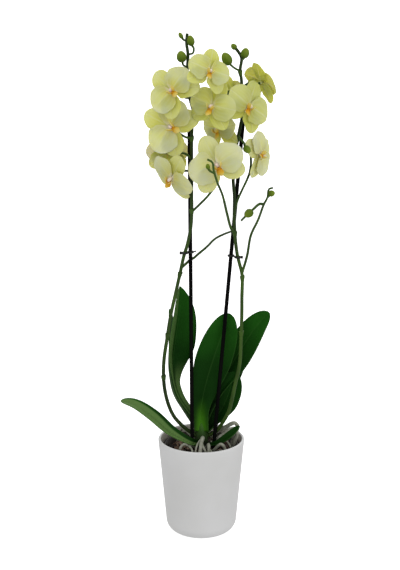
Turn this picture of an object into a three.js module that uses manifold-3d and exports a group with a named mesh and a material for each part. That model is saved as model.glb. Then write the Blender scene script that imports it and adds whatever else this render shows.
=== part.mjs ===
// A moth orchid in a glazed pot: two flower spikes tied to sticks, eight leaves, silvery roots and bark.
// Millimetres, +Z up. The origin is the middle of the pot's resting face, and -Y is the front.
import * as THREE from "three";
import { mergeVertices } from "three/addons/utils/BufferGeometryUtils.js";
import Module from "manifold-3d";

const wasm = await Module();
wasm.setup();

// Driving dimensions
const GAP = 0.35; // clearance between two pieces that touch
const POT = { radius: 66.5, height: 148, lowRadius: 54.5, corner: 18, wall: 4.2, floor: 7, segments: 32 };
const LINER = { radius: 55.5, lowRadius: 40.5, lip: 2.2, rim: 138, wall: 0.9, hole: 6, segments: 20 };
const BARK = { top: 132, chips: 15, seed: 11, segments: 20 };
const CROWN = { foot: 112, top: 174, radius: 12.5, sides: 12 };
const STICK = { radius: 3, foot: 9, sides: 9 };
const TEPAL = { thickness: 0.8, start: 0.8, widens: -0.4 };
const PETAL = {
  reach: 38, half: 21, shoulder: 4.5, splay: 0.05, claw: 0.7, back: 1.3, rise: 2.2, bend: 6.5, side: -1.4,
  spokes: 10,
};
const SEPAL = {
  reach: 40, half: 14.5, shoulder: 0, splay: 0, claw: 0.42, back: -2.3, rise: 0, bend: 6, side: 1.2, spokes: 7,
};
const PETAL_ANGLE = 84; // degrees from the dorsal sepal to a petal's middle line
const LATERAL_ANGLE = 130; // degrees from the dorsal sepal to a lateral sepal's middle line
const HUB = { radius: 3.8, back: -4.6, front: 1.9, sides: 6 };
const COLUMN = { radius: 2.2, length: 8.5, drop: 2.8, sides: 6 };
const LIP = { thickness: 1.1, flare: 0.25, spokes: 7 };
const LIP_MIDDLE = { length: 14.5, half: 4.4, lift: -1, curl: -0.12, droop: 32, seat: [0, -3.2, 3.2] };
const LIP_SIDE = { length: 8.5, half: 3.6, lift: 2, curl: 0.06, splay: 60, rise: 36, seat: [3.2, -6, 5] };
const LIP_CALLUS = { radius: 2.6, seat: [0, -5.8, 5.4] };
const LEAF = { thickness: 2, rows: 12, columns: 4, taper: 0.6 };
const ROOT = { sides: 6, stride: 10, taper: 0.85 };
const STEM = { sides: 6, stride: 25 };
const BRACT = { length: 7, top: 1.2, bottom: 0.3, sides: 5 };
const PEDICEL = { radius: [1.4, 1.8], sides: 6, stride: 20, straight: 12 };
const BUD = { taper: 0.12, seat: 0.8, stalkRadius: [1.2, 1.5], stalkSides: 4, stride: 11 };
const CLIP = {
  wall: 1.5, height: 3, sides: 10, stemPlay: 1.2, stickPlay: 0.8, bar: [2, 2.4], grip: [4.5, 2, 5], gripOut: 5,
};

// Colours, as red, green and blue from 0 to 1, with roughness
const FINISH = {
  glaze: [0.78, 0.78, 0.77, 0.3],
  clearPlastic: [0.72, 0.76, 0.74, 0.2],
  bark: [0.2, 0.12, 0.08, 0.95],
  root: [0.62, 0.64, 0.56, 0.7],
  leaf: [0.06, 0.19, 0.05, 0.4],
  stem: [0.16, 0.27, 0.09, 0.5],
  tepal: [0.74, 0.77, 0.4, 0.6],
  lip: [0.82, 0.47, 0.12, 0.5],
  stick: [0.05, 0.05, 0.04, 0.7],
  clip: [0.03, 0.03, 0.03, 0.4],
};

// Each bloom: where its tepals meet, how it is turned in degrees, and its size.
// yaw turns its face to the right, pitch turns it up, and roll turns it anticlockwise as seen from its front.
const BLOOMS = [
  { name: "bloom_01", at: [-42, -42, 673], yaw: -20, pitch: 12, roll: 50, size: 0.98 },
  { name: "bloom_02", at: [-45, -25, 622], yaw: -6, pitch: 6, roll: 64, size: 1.07 },
  { name: "bloom_03", at: [-42, -26, 550], yaw: -46, pitch: -24, roll: -38, size: 0.98 },
  { name: "bloom_04", at: [11, -58, 700], yaw: 24, pitch: 12, roll: -20, size: 0.84 },
  { name: "bloom_05", at: [15, -40, 652], yaw: -22, pitch: 6, roll: -18, size: 0.93 },
  { name: "bloom_06", at: [67, -24, 651], yaw: 32, pitch: 4, roll: -32, size: 0.98 },
  { name: "bloom_07", at: [87, 12, 684], yaw: 125, pitch: 25, roll: 20, size: 0.84 },
  { name: "bloom_08", at: [21, -42, 570], yaw: 4, pitch: 6, roll: 26, size: 1.1 },
  { name: "bloom_09", at: [24.5, 4, 618], yaw: -48, pitch: -8, roll: 4, size: 0.9 },
  { name: "bloom_10", at: [87, 12, 580], yaw: 56, pitch: 0, roll: -70, size: 0.92 },
  { name: "bloom_11", at: [46, 37, 670], yaw: 130, pitch: 6, roll: -15, size: 0.62 },
  { name: "bloom_12", at: [-50, 16, 583], yaw: 185, pitch: 0, roll: 0, size: 0.84 },
];

// Each leaf: the widths of its two halves, its stalk's share of that width and the share of its length where
// the stalk widens, its midrib from the crown to the tip, and the way its upper face looks at base, middle and
// tip. fold is how far its two halves are lifted into a V, in degrees, at base and tip. point is how sharply
// its tip runs out: 0.5 is a round tip and 1 a sharp one.
const LEAVES = [
  {
    name: "leaf_low_left", halves: [13.5, 13.5], neck: 0.1, stalk: 0.6, fold: [42, 18],
    rib: [[-4, -13, 140], [-18, -27, 149], [-46, -31, 167], [-74, -33, 193], [-100, -36, 212], [-120, -38, 219]],
    face: [[0.3, -0.6, 1], [0.35, -0.55, 1], [0.3, -0.4, 1]],
  },
  {
    name: "leaf_tall_left", halves: [14, 33], neck: 0.3, stalk: 0.26, fold: [38, 22], point: 0.8,
    rib: [[-6, 3, 168], [-20, 4, 188], [-33, 6, 208], [-40, 8, 228], [-43, 10, 250], [-43, 12, 276], [-39, 12, 307],
      [-34, 11, 343], [-32, 8, 384]],
    face: [[1, -0.35, 0.4], [0.85, -1, 0], [0.5, -1, 0.1]],
  },
  {
    name: "leaf_back_left", halves: [20, 20], neck: 0.1, stalk: 0.4, fold: [36, 12],
    rib: [[-8, 5, 158], [-26, 12, 184], [-43, 19, 212], [-50, 24, 250], [-49, 28, 295], [-49, 32, 343]],
    face: [[1, 0.1, 0.7], [1, -0.1, 0.1], [1, -0.2, 0.2]],
  },
  {
    name: "leaf_centre", halves: [28, 28], neck: 0.1, stalk: 0.46, fold: [34, 9],
    rib: [[0, -4, 160], [0, 2, 196], [8, 6, 236], [20, 8, 276], [32, 7, 312], [42, 4, 343]],
    face: [[0, -1, 0.3], [0.1, -1, 0.1], [0.05, -1, 0.1]],
  },
  {
    name: "leaf_right", halves: [24, 24], neck: 0.1, stalk: 0.4, fold: [36, 12],
    rib: [[6, 8, 166], [20, 19, 200], [38, 24, 240], [62, 25, 282], [84, 22, 318], [103, 19, 341]],
    face: [[-0.7, -0.7, 1], [-0.45, -1, 0.3], [-0.5, -1, 0.5]],
  },
  {
    name: "leaf_back_right", halves: [18, 18], neck: 0.1, stalk: 0.4, fold: [38, 14],
    rib: [[8, 10, 152], [24, 26, 184], [38, 34, 216], [52, 38, 246], [68, 40, 278]],
    face: [[-0.8, -0.4, 1], [-0.6, -1, 0.3], [-0.5, -1, 0.3]],
  },
  {
    name: "leaf_low_right", halves: [21, 21], neck: 0.05, stalk: 0.55, fold: [36, 14],
    rib: [[8, 4, 154], [22, 9, 173], [35, 12, 196], [44, 13, 220], [51, 13, 249]],
    face: [[-0.7, -0.6, 0.8], [-0.35, -1, 0.25], [-0.2, -1, 0.2]],
  },
  {
    name: "leaf_small_right", halves: [6.5, 6.5], neck: 0.1, stalk: 0.5, fold: [30, 12],
    rib: [[9, -11, 140], [22, -20, 145], [40, -24, 158], [58, -25, 175]],
    face: [[-0.3, -0.5, 1], [-0.4, -0.7, 1], [-0.4, -0.6, 1]],
  },
];

// Each root: its route out of the crown and down into the bark.
const ROOTS = [
  {
    name: "root_front_left", radius: 2.3,
    route: [[-7, -11, 137], [-18, -30, 145], [-27, -39, 151], [-33, -37, 140], [-34, -35, 118]],
  },
  {
    name: "root_front", radius: 3.2,
    route: [[2, -12, 148], [2, -24, 156], [0, -36, 151], [-2, -44, 138], [-2, -44, 116]],
  },
  {
    name: "root_front_arch", radius: 2.8,
    route: [[4, -12, 128], [9, -22, 141], [11, -32, 148], [11, -39, 140], [10, -40, 116]],
  },
  {
    name: "root_front_right", radius: 2.5,
    route: [[9, -9, 124], [20, -26, 138], [30, -35, 150], [36, -34, 141], [37, -32, 116]],
  },
  {
    name: "root_back_right", radius: 3.5,
    route: [[12, 6, 146], [24, 9, 154], [38, 6, 163], [51, 3, 170], [56, 7, 162], [51, 13, 146], [45, 15, 118]],
  },
  {
    name: "root_right", radius: 3.4,
    route: [[11, -2, 134], [24, -4, 146], [37, -8, 157], [49, -12, 167], [54, -9, 158], [51.5, -5, 144],
      [46, -3, 118]],
  },
  {
    name: "root_back_left", radius: 2.5,
    route: [[-10, 8, 139], [-22, 24, 149], [-30, 34, 150], [-36, 35, 136], [-36, 32, 116]],
  },
  {
    name: "root_back", radius: 2.2,
    route: [[2, 12, 140], [8, 26, 152], [12, 38, 148], [13, 44, 134], [13, 44, 116]],
  },
];

const STICKS = [
  { name: "stick_left", foot: [-13, -18], head: [-17.5, 4, 634] },
  { name: "stick_right", foot: [8, -15], head: [61, 8, 634] },
];

// The two flower spikes. A branch or a bud's stalk starts at a point on what carries it.
const SPIKES = [
  {
    name: "spike_left", radius: [2.9, 2.2],
    route: [[-8, -4, 152], [-19, -5, 160], [-30, -9, 171], [-42, -13, 187], [-51, -17, 211], [-56, -20, 240],
      [-56, -21, 274], [-51, -20, 310], [-45, -18, 347], [-38, -15, 378], [-31, -12, 409], [-26, -11, 432],
      [-20, -9, 452], [-15, -9, 480], [-14, -9, 520], [-14, -9, 560], [-14, -9, 600], [-13, -9, 625],
      [-11, -9, 640], [-15, -9, 655], [-19, -9, 672], [-20, -9, 700], [-19, -9, 722], [-21, -9, 738], [-20, -9, 751]],
    nodes: [[-56, -15, 250], [-50, -15, 314], [-32, -12, 406], [-14, -9, 498], [-14, -9, 603], [-20, -9, 692]],
    branches: [
      { radius: [2.1, 1.5], route: [[-29, -11.5, 416], [-23, -4, 420], [-17, 5, 424], [-11, 7, 427], [-5, 9, 432],
        [8, 9.5, 443], [20, 9.5, 455], [33, 9.5, 462], [46, 9.5, 467]] },
    ],
    pedicels: [
      { bloom: "bloom_01", route: [[-17, -9, 662], [-22, -15, 662]] },
      { bloom: "bloom_02", route: [[-14, -9, 604], [-24, -12, 607]] },
      { bloom: "bloom_03", route: [[-14, -9, 552], [-18, -6, 557]] },
      { bloom: "bloom_04", route: [[-20, -9, 692], [-10, -22, 690]] },
      { bloom: "bloom_05", route: [[-12, -9, 636], [-4, -16, 644]] },
      { bloom: "bloom_12", route: [[-14, -9, 575], [-24, -12, 583]] },
      { bloom: "bloom_08", route: [[-14, -9, 498], [-2, -12, 510], [10, -16, 523], [20, -19, 538], [22, -20, 555]] },
    ],
    buds: [
      { at: [-29, -9, 748], size: [3.2, 4.8], lean: [-6, 0, 10], stalk: [[-21, -9, 740], [-26, -9, 743]] },
      {
        at: [-15, -9, 741], size: [5.6, 7.6], lean: [-2, 0, 10],
        stalk: [[-19, -9, 722], [-12, -9, 724], [-11, -9, 731]],
      },
      { at: [-28, -11, 719], size: [7.2, 8.2], lean: [-2, 0, 10], stalk: [[-20, -9, 704], [-26, -10, 708]] },
    ],
  },
  {
    name: "spike_right", radius: [2.9, 2.2],
    route: [[9, 1, 150], [22, -2, 158], [33, -9, 176], [41, -16, 194], [46, -20, 215], [51, -20, 241],
      [57, -18, 269], [59, -16, 306], [60, -14, 343], [60, -13, 370], [60, -13, 405], [56, -12, 422],
      [53, -12, 434], [50, -12, 455], [48, -11, 487], [48, -10, 519], [46, -9, 547], [48, -7, 575], [52, -6, 602],
      [56, -5, 622], [59, -4, 640], [58, -4, 665], [57, -4, 687], [55, -4, 700], [57, -4, 717], [53, -4, 725],
      [48, -4, 731]],
    nodes: [[59, -16, 316], [60, -13, 400], [49, -11.5, 466], [52, -6, 603], [58, -4, 672], [56, -4, 696]],
    branches: [
      { radius: [2.1, 1.5], route: [[49, -11.5, 466], [43, -21, 476], [37, -36, 498], [30, -52, 527], [22, -67, 548],
        [17, -73, 565], [15, -74, 576], [8, -74, 580]] },
      { radius: [2.1, 1.5], route: [[60, -13, 408], [67, -17, 435], [72, -19, 465], [82, -22, 488], [90, -24, 511],
        [95, -24, 521], [97, -24, 533], [103, -24, 535]] },
      { radius: [1.7, 1.3], route: [[90, -24, 511], [84, -26, 512], [74, -28, 504], [64, -29, 495], [57, -30, 488]] },
    ],
    pedicels: [
      { bloom: "bloom_06", route: [[58, -5, 632], [62, -11, 637]] },
      { bloom: "bloom_07", route: [[58, -4, 676], [68, -1, 682]] },
      { bloom: "bloom_09", route: [[52, -6, 603], [50, 6, 607]] },
      { bloom: "bloom_10", route: [[48, -10.5, 497], [52, -8, 513], [59, 0, 528], [66, 9, 541], [71, 15, 553],
        [73, 20, 566]] },
      { bloom: "bloom_11", route: [[58, -4, 660], [56, 6, 663]] },
    ],
    buds: [
      { at: [36, -6, 716], size: [7.4, 9.8], lean: [-5, 0, 9], stalk: [[55, -4, 699], [46, -5, 704]] },
      { at: [46, -4, 733], size: [4.2, 4.8], lean: [-6, 0, 6], stalk: [[50, -4, 729], [48, -4, 731]] },
      { at: [62, -5, 724], size: [6.2, 7.4], lean: [3, 0, 10], stalk: [[57, -4, 714], [60, -5, 716]] },
      {
        at: [65, -26, 590], size: [5.2, 6.4], lean: [6, -3, -7],
        stalk: [[53, -6, 608], [57, -16, 603], [61, -24, 598]],
      },
      { at: [101, -25, 527], size: [4.8, 4.8], lean: [8, 0, 2], stalk: [[95, -24, 521], [98, -25, 524]] },
      { at: [68, -31, 499], size: [6.2, 7.2], lean: [-8, 0, -6], stalk: [[75, -28, 505], [72, -30, 503]] },
      { at: [9, -73, 570], size: [3.2, 4.2], lean: [-2, 0, 10], stalk: [[19, -71, 560], [12, -73, 564]] },
    ],
  },
];

// A clip holds one spike to its stick at this height. tail is the length of its finger grip.
const CLIPS = [
  { name: "clip_left", height: 437.5, stem: [-24.6, -10.5], stemRadius: 2.8, stick: "stick_left", tail: 11 },
  { name: "clip_right", height: 431.5, stem: [53.6, -12], stemRadius: 2.9, stick: "stick_right", tail: 6 },
];

const vector = (point) => new THREE.Vector3(...point);
const degrees = THREE.MathUtils.degToRad;
const smooth = THREE.MathUtils.smoothstep;
const mix = THREE.MathUtils.lerp;

// Merges a geometry's vertices and drops faces that have no area.
function tidy(geometry) {
  const bare = geometry.clone();
  bare.deleteAttribute("normal");
  bare.deleteAttribute("uv");
  const merged = mergeVertices(bare, 1e-4);
  const kept = [];
  for (let i = 0; i < merged.index.count; i += 3) {
    const [a, b, c] = [0, 1, 2].map((k) => merged.index.getX(i + k));
    if (a !== b && b !== c && c !== a) kept.push(a, b, c);
  }
  merged.setIndex(kept);
  return merged;
}

function solidOf(geometry) {
  const merged = tidy(geometry);
  const mesh = new wasm.Mesh({
    numProp: 3,
    vertProperties: new Float32Array(merged.attributes.position.array),
    triVerts: new Uint32Array(merged.index.array),
  });
  return new wasm.Manifold(mesh);
}

function geometryOf(solid) {
  const mesh = solid.getMesh();
  const geometry = new THREE.BufferGeometry();
  geometry.setAttribute("position", new THREE.BufferAttribute(new Float32Array(mesh.vertProperties), 3));
  geometry.setIndex(Array.from(mesh.triVerts));
  return geometry;
}

const join = (solids) => solids.reduce((whole, solid) => whole.add(solid));
const cut = (solid, tools) => tools.reduce((whole, tool) => whole.subtract(tool), solid);

// The largest body of a solid that a cut may have parted.
function largest(solid) {
  const bodies = solid.decompose();
  return bodies.reduce((best, body) => (body.volume() > best.volume() ? body : best));
}

// Moves each vertex of a geometry to where place says.
function reshape(geometry, place) {
  const position = geometry.attributes.position;
  const point = new THREE.Vector3();
  for (let i = 0; i < position.count; i++) {
    point.fromBufferAttribute(position, i);
    const moved = place(point.clone());
    position.setXYZ(i, moved.x, moved.y, moved.z);
  }
  return geometry;
}

// Closes an open surface into a blade, split into triangles alike on both faces.
function thicken(surface, thickness) {
  const open = tidy(surface);
  open.computeVertexNormals();
  const { position, normal } = open.attributes;
  const count = position.count;
  const vertices = [];
  for (const half of [thickness / 2, -thickness / 2]) {
    for (let i = 0; i < count; i++) {
      const at = new THREE.Vector3().fromBufferAttribute(position, i);
      at.addScaledVector(new THREE.Vector3().fromBufferAttribute(normal, i), half);
      vertices.push(at.x, at.y, at.z);
    }
  }
  const faces = [];
  const rim = new Map();
  for (let i = 0; i < open.index.count; i += 3) {
    const [a, b, c] = [0, 1, 2].map((k) => open.index.getX(i + k));
    faces.push(a, b, c, c + count, b + count, a + count);
    for (const [from, to] of [[a, b], [b, c], [c, a]]) {
      if (!rim.delete(`${to} ${from}`)) rim.set(`${from} ${to}`, [from, to]);
    }
  }
  for (const [from, to] of rim.values()) {
    faces.push(to, from, from + count, to, from + count, to + count);
  }
  const blade = new THREE.BufferGeometry();
  blade.setAttribute("position", new THREE.Float32BufferAttribute(vertices, 3));
  blade.setIndex(faces);
  return blade;
}

const curveThrough = (route) => new THREE.CatmullRomCurve3(route.map(vector), false, "centripetal");

// A closed tube along a smooth curve through the points, tapering from one radius to another.
function tube(route, [startRadius, endRadius], sides, stride) {
  const curve = curveThrough(route);
  const steps = Math.max(2, Math.round(curve.getLength() / stride));
  const section = new THREE.Shape().absarc(0, 0, startRadius, 0, 2 * Math.PI);
  const body = new THREE.ExtrudeGeometry(section, { curveSegments: sides / 2, steps, extrudePath: curve });
  const rings = curve.getSpacedPoints(steps);
  return reshape(body, (p) => {
    const step = nearest(rings, p);
    const taper = mix(1, endRadius / startRadius, step / steps);
    return p.sub(rings[step]).multiplyScalar(taper).add(rings[step]);
  });
}

function nearest(points, place) {
  const distances = points.map((point) => point.distanceToSquared(place));
  return distances.indexOf(Math.min(...distances));
}

// A body of revolution about Z from [radius, height] pairs.
function turned(profile, segments) {
  const points = profile.map(([radius, height]) => new THREE.Vector2(radius, height));
  return new THREE.LatheGeometry(points, segments).rotateX(Math.PI / 2);
}

// Pot, liner and bark
function pot() {
  const foot = POT.lowRadius - POT.corner;
  const profile = [[0, 0], [foot, 0]];
  for (const turn of [22, 45, 68]) {
    const angle = degrees(turn);
    profile.push([foot + POT.corner * Math.sin(angle), POT.corner * (1 - Math.cos(angle))]);
  }
  profile.push([POT.lowRadius, POT.corner], [POT.radius - 0.4, POT.height - 1.5], [POT.radius - 1.5, POT.height]);
  profile.push([POT.radius - POT.wall + 1.2, POT.height], [POT.radius - POT.wall, POT.height - 1.5]);
  profile.push([POT.lowRadius - POT.wall, POT.corner + 4], [foot + 4, POT.floor], [0, POT.floor]);
  return turned(profile, POT.segments);
}

function liner() {
  const low = POT.floor + GAP;
  const inner = LINER.lowRadius - LINER.wall;
  return turned([
    [LINER.hole, low], [LINER.lowRadius - 2, low], [LINER.lowRadius, low + 2],
    [LINER.radius, LINER.rim - 3], [LINER.radius + LINER.lip, LINER.rim - 3],
    [LINER.radius + LINER.lip, LINER.rim],
    [LINER.radius - LINER.wall, LINER.rim], [inner, low + 2.5], [inner - 2, low + LINER.wall],
    [LINER.hole, low + LINER.wall], [LINER.hole, low],
  ], LINER.segments);
}

// A number from 0 to 1, the same each run.
function random(seed) {
  let state = seed;
  return () => {
    state = (state * 1664525 + 1013904223) % 4294967296;
    return state / 4294967296;
  };
}

// The bark fills the liner, with loose chips bedded in its top.
function bark(holes) {
  const low = POT.floor + GAP + LINER.wall + GAP;
  const bore = (height) => mix(LINER.lowRadius, LINER.radius, (height - low) / (LINER.rim - low)) - 2 * LINER.wall;
  const bed = turned([
    [0, low], [bore(low) - 3, low], [bore(low + 3), low + 3], [bore(BARK.top - 4), BARK.top - 4],
    [bore(BARK.top) - 5, BARK.top], [0, BARK.top + 2],
  ], BARK.segments);
  const draw = random(BARK.seed);
  const chips = [];
  for (let i = 0; i < BARK.chips; i++) {
    const angle = i * 2.4 + draw() * 0.5;
    const reach = (bore(BARK.top) - 10) * Math.sqrt((i + 0.6) / BARK.chips);
    const chip = new THREE.BoxGeometry(9 + draw() * 10, 7 + draw() * 6, 4 + draw() * 4);
    chip.rotateX((draw() - 0.5) * 0.9).rotateY((draw() - 0.5) * 0.9).rotateZ(draw() * Math.PI);
    chip.translate(reach * Math.cos(angle), reach * Math.sin(angle), BARK.top + 1 + draw() * 3);
    chips.push(solidOf(chip));
  }
  return largest(cut(join([solidOf(bed), ...chips]), holes));
}

// Crown, leaves and roots
function crown(grow) {
  const { foot, top, radius, sides } = CROWN;
  return solidOf(turned([
    [0, foot - grow], [radius * 0.72 + grow, foot - grow], [radius + grow, foot + 24], [radius + grow, foot + 36],
    [radius * 0.8 + grow, top - 10], [radius * 0.35 + grow, top + grow], [0, top + grow],
  ], sides));
}

// How wide a leaf is at a share of its length: a narrow stalk, a broad blade and a tip.
function leafWidth({ stalk, neck, point = 0.5 }, along) {
  const tip = Math.max(0, (along - LEAF.taper) / (1 - LEAF.taper));
  return mix(stalk, 1, smooth(along, neck, LEAF.taper)) * (1 - tip ** 2.2) ** point;
}

function leafFrame(leaf, curve, along) {
  const [base, middle, tip] = leaf.face.map(vector);
  const face = along < 0.5 ? base.lerp(middle, along * 2) : middle.lerp(tip, along * 2 - 1);
  const forward = curve.getTangentAt(along);
  const side = forward.clone().cross(face).normalize();
  return { side, up: side.clone().cross(forward).normalize() };
}

function leafBlade(leaf, thickness, grow) {
  const curve = curveThrough(leaf.rib);
  const surface = new THREE.PlaneGeometry(2, 1, LEAF.columns, LEAF.rows);
  reshape(surface, (p) => {
    const along = p.y + 0.5;
    const { side, up } = leafFrame(leaf, curve, along);
    const fold = degrees(mix(leaf.fold[0], leaf.fold[1], smooth(along, 0, 0.6)));
    const half = leaf.halves[p.x < 0 ? 0 : 1];
    const across = p.x * (half * leafWidth(leaf, along) + grow);
    return curve.getPointAt(along)
      .addScaledVector(side, across * Math.cos(fold))
      .addScaledVector(up, Math.abs(across) * Math.sin(fold));
  });
  return solidOf(thicken(surface, thickness));
}

// Leaves are cut where they clasp the crown and each other.
function leaves() {
  const core = crown(GAP);
  const grown = [];
  return LEAVES.map((leaf) => {
    const solid = largest(cut(leafBlade(leaf, LEAF.thickness, 0), [core, ...grown]));
    grown.push(leafBlade(leaf, LEAF.thickness + 2 * GAP, GAP));
    return { name: leaf.name, solid };
  });
}

const rootTube = (root, grow) =>
  solidOf(tube(root.route, [root.radius + grow, root.radius * ROOT.taper + grow], ROOT.sides, ROOT.stride));

// Sticks and clips
const stickAxis = (stick) => new THREE.LineCurve3(vector([...stick.foot, STICK.foot]), vector(stick.head));

function stickAt(stick, height) {
  const axis = stickAxis(stick);
  return axis.getPoint((height - axis.v1.z) / (axis.v2.z - axis.v1.z));
}

function stickRod(stick, grow) {
  const axis = stickAxis(stick);
  const radius = STICK.radius + grow;
  const rod = new THREE.CylinderGeometry(radius, radius, axis.getLength() + grow, STICK.sides);
  const turn = new THREE.Quaternion().setFromUnitVectors(new THREE.Vector3(0, 1, 0), axis.getTangent(0));
  rod.applyQuaternion(turn).translate(...axis.getPoint(0.5).toArray());
  return solidOf(rod);
}

function ring(centre, bore) {
  const { wall, height, sides } = CLIP;
  const outer = new THREE.CylinderGeometry(bore + wall, bore + wall, height, sides).rotateX(Math.PI / 2);
  const inner = new THREE.CylinderGeometry(bore, bore, height * 2, sides).rotateX(Math.PI / 2);
  outer.translate(...centre.toArray());
  inner.translate(...centre.toArray());
  return { body: solidOf(outer), bore: solidOf(inner) };
}

// A spring clip: one ring round the stem, one round the stick, a bridge between them and a finger grip.
function clip(data) {
  const stick = stickAt(STICKS.find((s) => s.name === data.stick), data.height);
  const stem = new THREE.Vector3(...data.stem, data.height);
  const stemRing = ring(stem, data.stemRadius + CLIP.stemPlay);
  const stickRing = ring(stick, STICK.radius + CLIP.stickPlay);
  const span = stick.clone().sub(stem);
  const away = new THREE.Vector3(Math.sign(span.x), 0, 0);
  const reach = span.length() + data.tail;
  const bar = new THREE.BoxGeometry(reach, ...CLIP.bar).translate(reach / 2, 0, 0);
  bar.rotateZ(Math.atan2(span.y, span.x)).translate(...stem.toArray());
  const grip = new THREE.BoxGeometry(...CLIP.grip);
  grip.translate(...stem.clone().addScaledVector(away, -CLIP.gripOut).toArray());
  return cut(join([stemRing.body, stickRing.body, solidOf(bar), solidOf(grip)]), [stemRing.bore, stickRing.bore]);
}

// Blooms, in a frame of their own: +X to the right, +Y up the dorsal sepal, +Z out of the face.
// A tepal springs from inside the hub by a narrow claw.
function tepal(form, angle) {
  const surface = new THREE.RingGeometry(0, 1, form.spokes, 2);
  reshape(surface, ({ x: along, y: across }) => {
    const a = mix(TEPAL.start, form.reach, (along + 1) / 2) - form.shoulder * across * across;
    const wide = form.half * (1 + form.splay * along) * mix(form.claw, 1, smooth(along, -1, TEPAL.widens));
    const b = wide * across;
    const p = a / form.reach;
    const q = b / form.half;
    return new THREE.Vector3(b, a, form.back + form.rise * p - form.bend * p * p + form.side * q * q * p);
  });
  return solidOf(thicken(surface, TEPAL.thickness).rotateZ(degrees(angle)));
}

const column = (grow) =>
  solidOf(tube([[0, 0.4, 0], [0, -0.4, COLUMN.length * 0.5], [0, -COLUMN.drop, COLUMN.length]],
    [COLUMN.radius + grow, COLUMN.radius * 1.15 + grow], COLUMN.sides, COLUMN.length / 2));

function hub(grow) {
  const length = HUB.front - HUB.back + grow;
  const drum = new THREE.CylinderGeometry(HUB.radius + grow, HUB.radius * 0.8 + grow, length, HUB.sides);
  return solidOf(drum.rotateX(Math.PI / 2).translate(0, 0, (HUB.front + HUB.back + grow) / 2));
}

function bloomTepals() {
  const sepals = [0, LATERAL_ANGLE, -LATERAL_ANGLE].map((angle) => tepal(SEPAL, angle));
  const petals = [PETAL_ANGLE, -PETAL_ANGLE].map((angle) => tepal(PETAL, angle));
  return join([hub(0), ...sepals, ...petals, column(0)]);
}

// The lip: a keeled middle lobe that points out and down, two side lobes that stand up, and a callus.
function lipLobe({ length, half, lift, curl }) {
  const surface = new THREE.RingGeometry(0, 1, LIP.spokes, 1);
  reshape(surface, ({ x: along, y: across }) => {
    const a = (length * (along + 1)) / 2;
    const b = half * across * (1 + LIP.flare * along);
    return new THREE.Vector3(b, -a, lift * (a / length) ** 2 + curl * b * b);
  });
  return thicken(surface, LIP.thickness);
}

function bloomLip() {
  const middle = lipLobe(LIP_MIDDLE).rotateX(degrees(-LIP_MIDDLE.droop)).translate(...LIP_MIDDLE.seat);
  const [seatX, seatY, seatZ] = LIP_SIDE.seat;
  const sides = [-1, 1].map((hand) =>
    lipLobe(LIP_SIDE).rotateZ(Math.PI).rotateY(degrees(hand * LIP_SIDE.splay)).rotateX(degrees(LIP_SIDE.rise))
      .translate(hand * seatX, seatY, seatZ));
  const callus = new THREE.OctahedronGeometry(LIP_CALLUS.radius).translate(...LIP_CALLUS.seat);
  return largest(cut(join([middle, callus, ...sides].map(solidOf)), [column(GAP)]));
}

function bloomTurn({ yaw, pitch, roll }) {
  const about = (axis, angle) => new THREE.Quaternion().setFromAxisAngle(vector(axis), degrees(angle));
  return about([0, 0, 1], yaw).multiply(about([1, 0, 0], 90 - pitch)).multiply(about([0, 0, 1], roll));
}

// A point on the line through the back of a bloom's hub, at a distance behind its middle.
function behind(bloom, distance) {
  const back = new THREE.Vector3(0, 0, -distance).applyQuaternion(bloomTurn(bloom));
  return back.add(vector(bloom.at)).toArray();
}

// Spikes, with their branches, bracts, bloom stalks and buds
function bract(at, radius, along) {
  const sheath = new THREE.CylinderGeometry(radius + BRACT.top, radius + BRACT.bottom, BRACT.length, BRACT.sides);
  sheath.applyQuaternion(new THREE.Quaternion().setFromUnitVectors(new THREE.Vector3(0, 1, 0), along));
  return solidOf(sheath.translate(...at));
}

function bud({ at, size, lean, stalk }) {
  const [half, tall] = size;
  const egg = reshape(new THREE.SphereGeometry(1, 6, 4), (p) => {
    const taper = 1 - BUD.taper * p.y;
    return new THREE.Vector3(p.x * half * taper, p.y * tall, p.z * half * taper);
  });
  const way = vector(lean).normalize();
  egg.applyQuaternion(new THREE.Quaternion().setFromUnitVectors(new THREE.Vector3(0, 1, 0), way)).translate(...at);
  const seat = vector(at).addScaledVector(way, -tall * BUD.seat).toArray();
  return join([solidOf(egg), solidOf(tube([...stalk, seat], BUD.stalkRadius, BUD.stalkSides, BUD.stride))]);
}

function pedicel({ bloom, route }) {
  const data = BLOOMS.find((b) => b.name === bloom);
  const seat = GAP - HUB.back * data.size;
  const whole = [...route, behind(data, seat + PEDICEL.straight), behind(data, seat)];
  return solidOf(tube(whole, PEDICEL.radius, PEDICEL.sides, PEDICEL.stride));
}

function spike(data) {
  const main = tube(data.route, data.radius, STEM.sides, STEM.stride);
  const curve = curveThrough(data.route);
  const samples = curve.getSpacedPoints(400);
  const bracts = data.nodes.map((node) => {
    const share = nearest(samples, vector(node)) / 400;
    return bract(curve.getPointAt(share).toArray(), mix(...data.radius, share), curve.getTangentAt(share));
  });
  const branches = data.branches.map(({ route, radius }) => solidOf(tube(route, radius, STEM.sides, STEM.stride)));
  return join([solidOf(main), ...bracts, ...branches, ...data.pedicels.map(pedicel), ...data.buds.map(bud)]);
}

// The whole plant
const orchid = new THREE.Group();

function add(name, solid, finish, parent = orchid) {
  const [red, green, blue, roughness] = FINISH[finish];
  const color = new THREE.Color(red, green, blue);
  const material = new THREE.MeshStandardMaterial({ color, roughness, metalness: 0 });
  const mesh = new THREE.Mesh(solid.isBufferGeometry ? solid : geometryOf(solid), material);
  mesh.name = name;
  parent.add(mesh);
}

const core = crown(GAP);
const rootHoles = ROOTS.map((root) => rootTube(root, GAP));
const stickHoles = STICKS.map((stick) => stickRod(stick, GAP));

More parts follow.
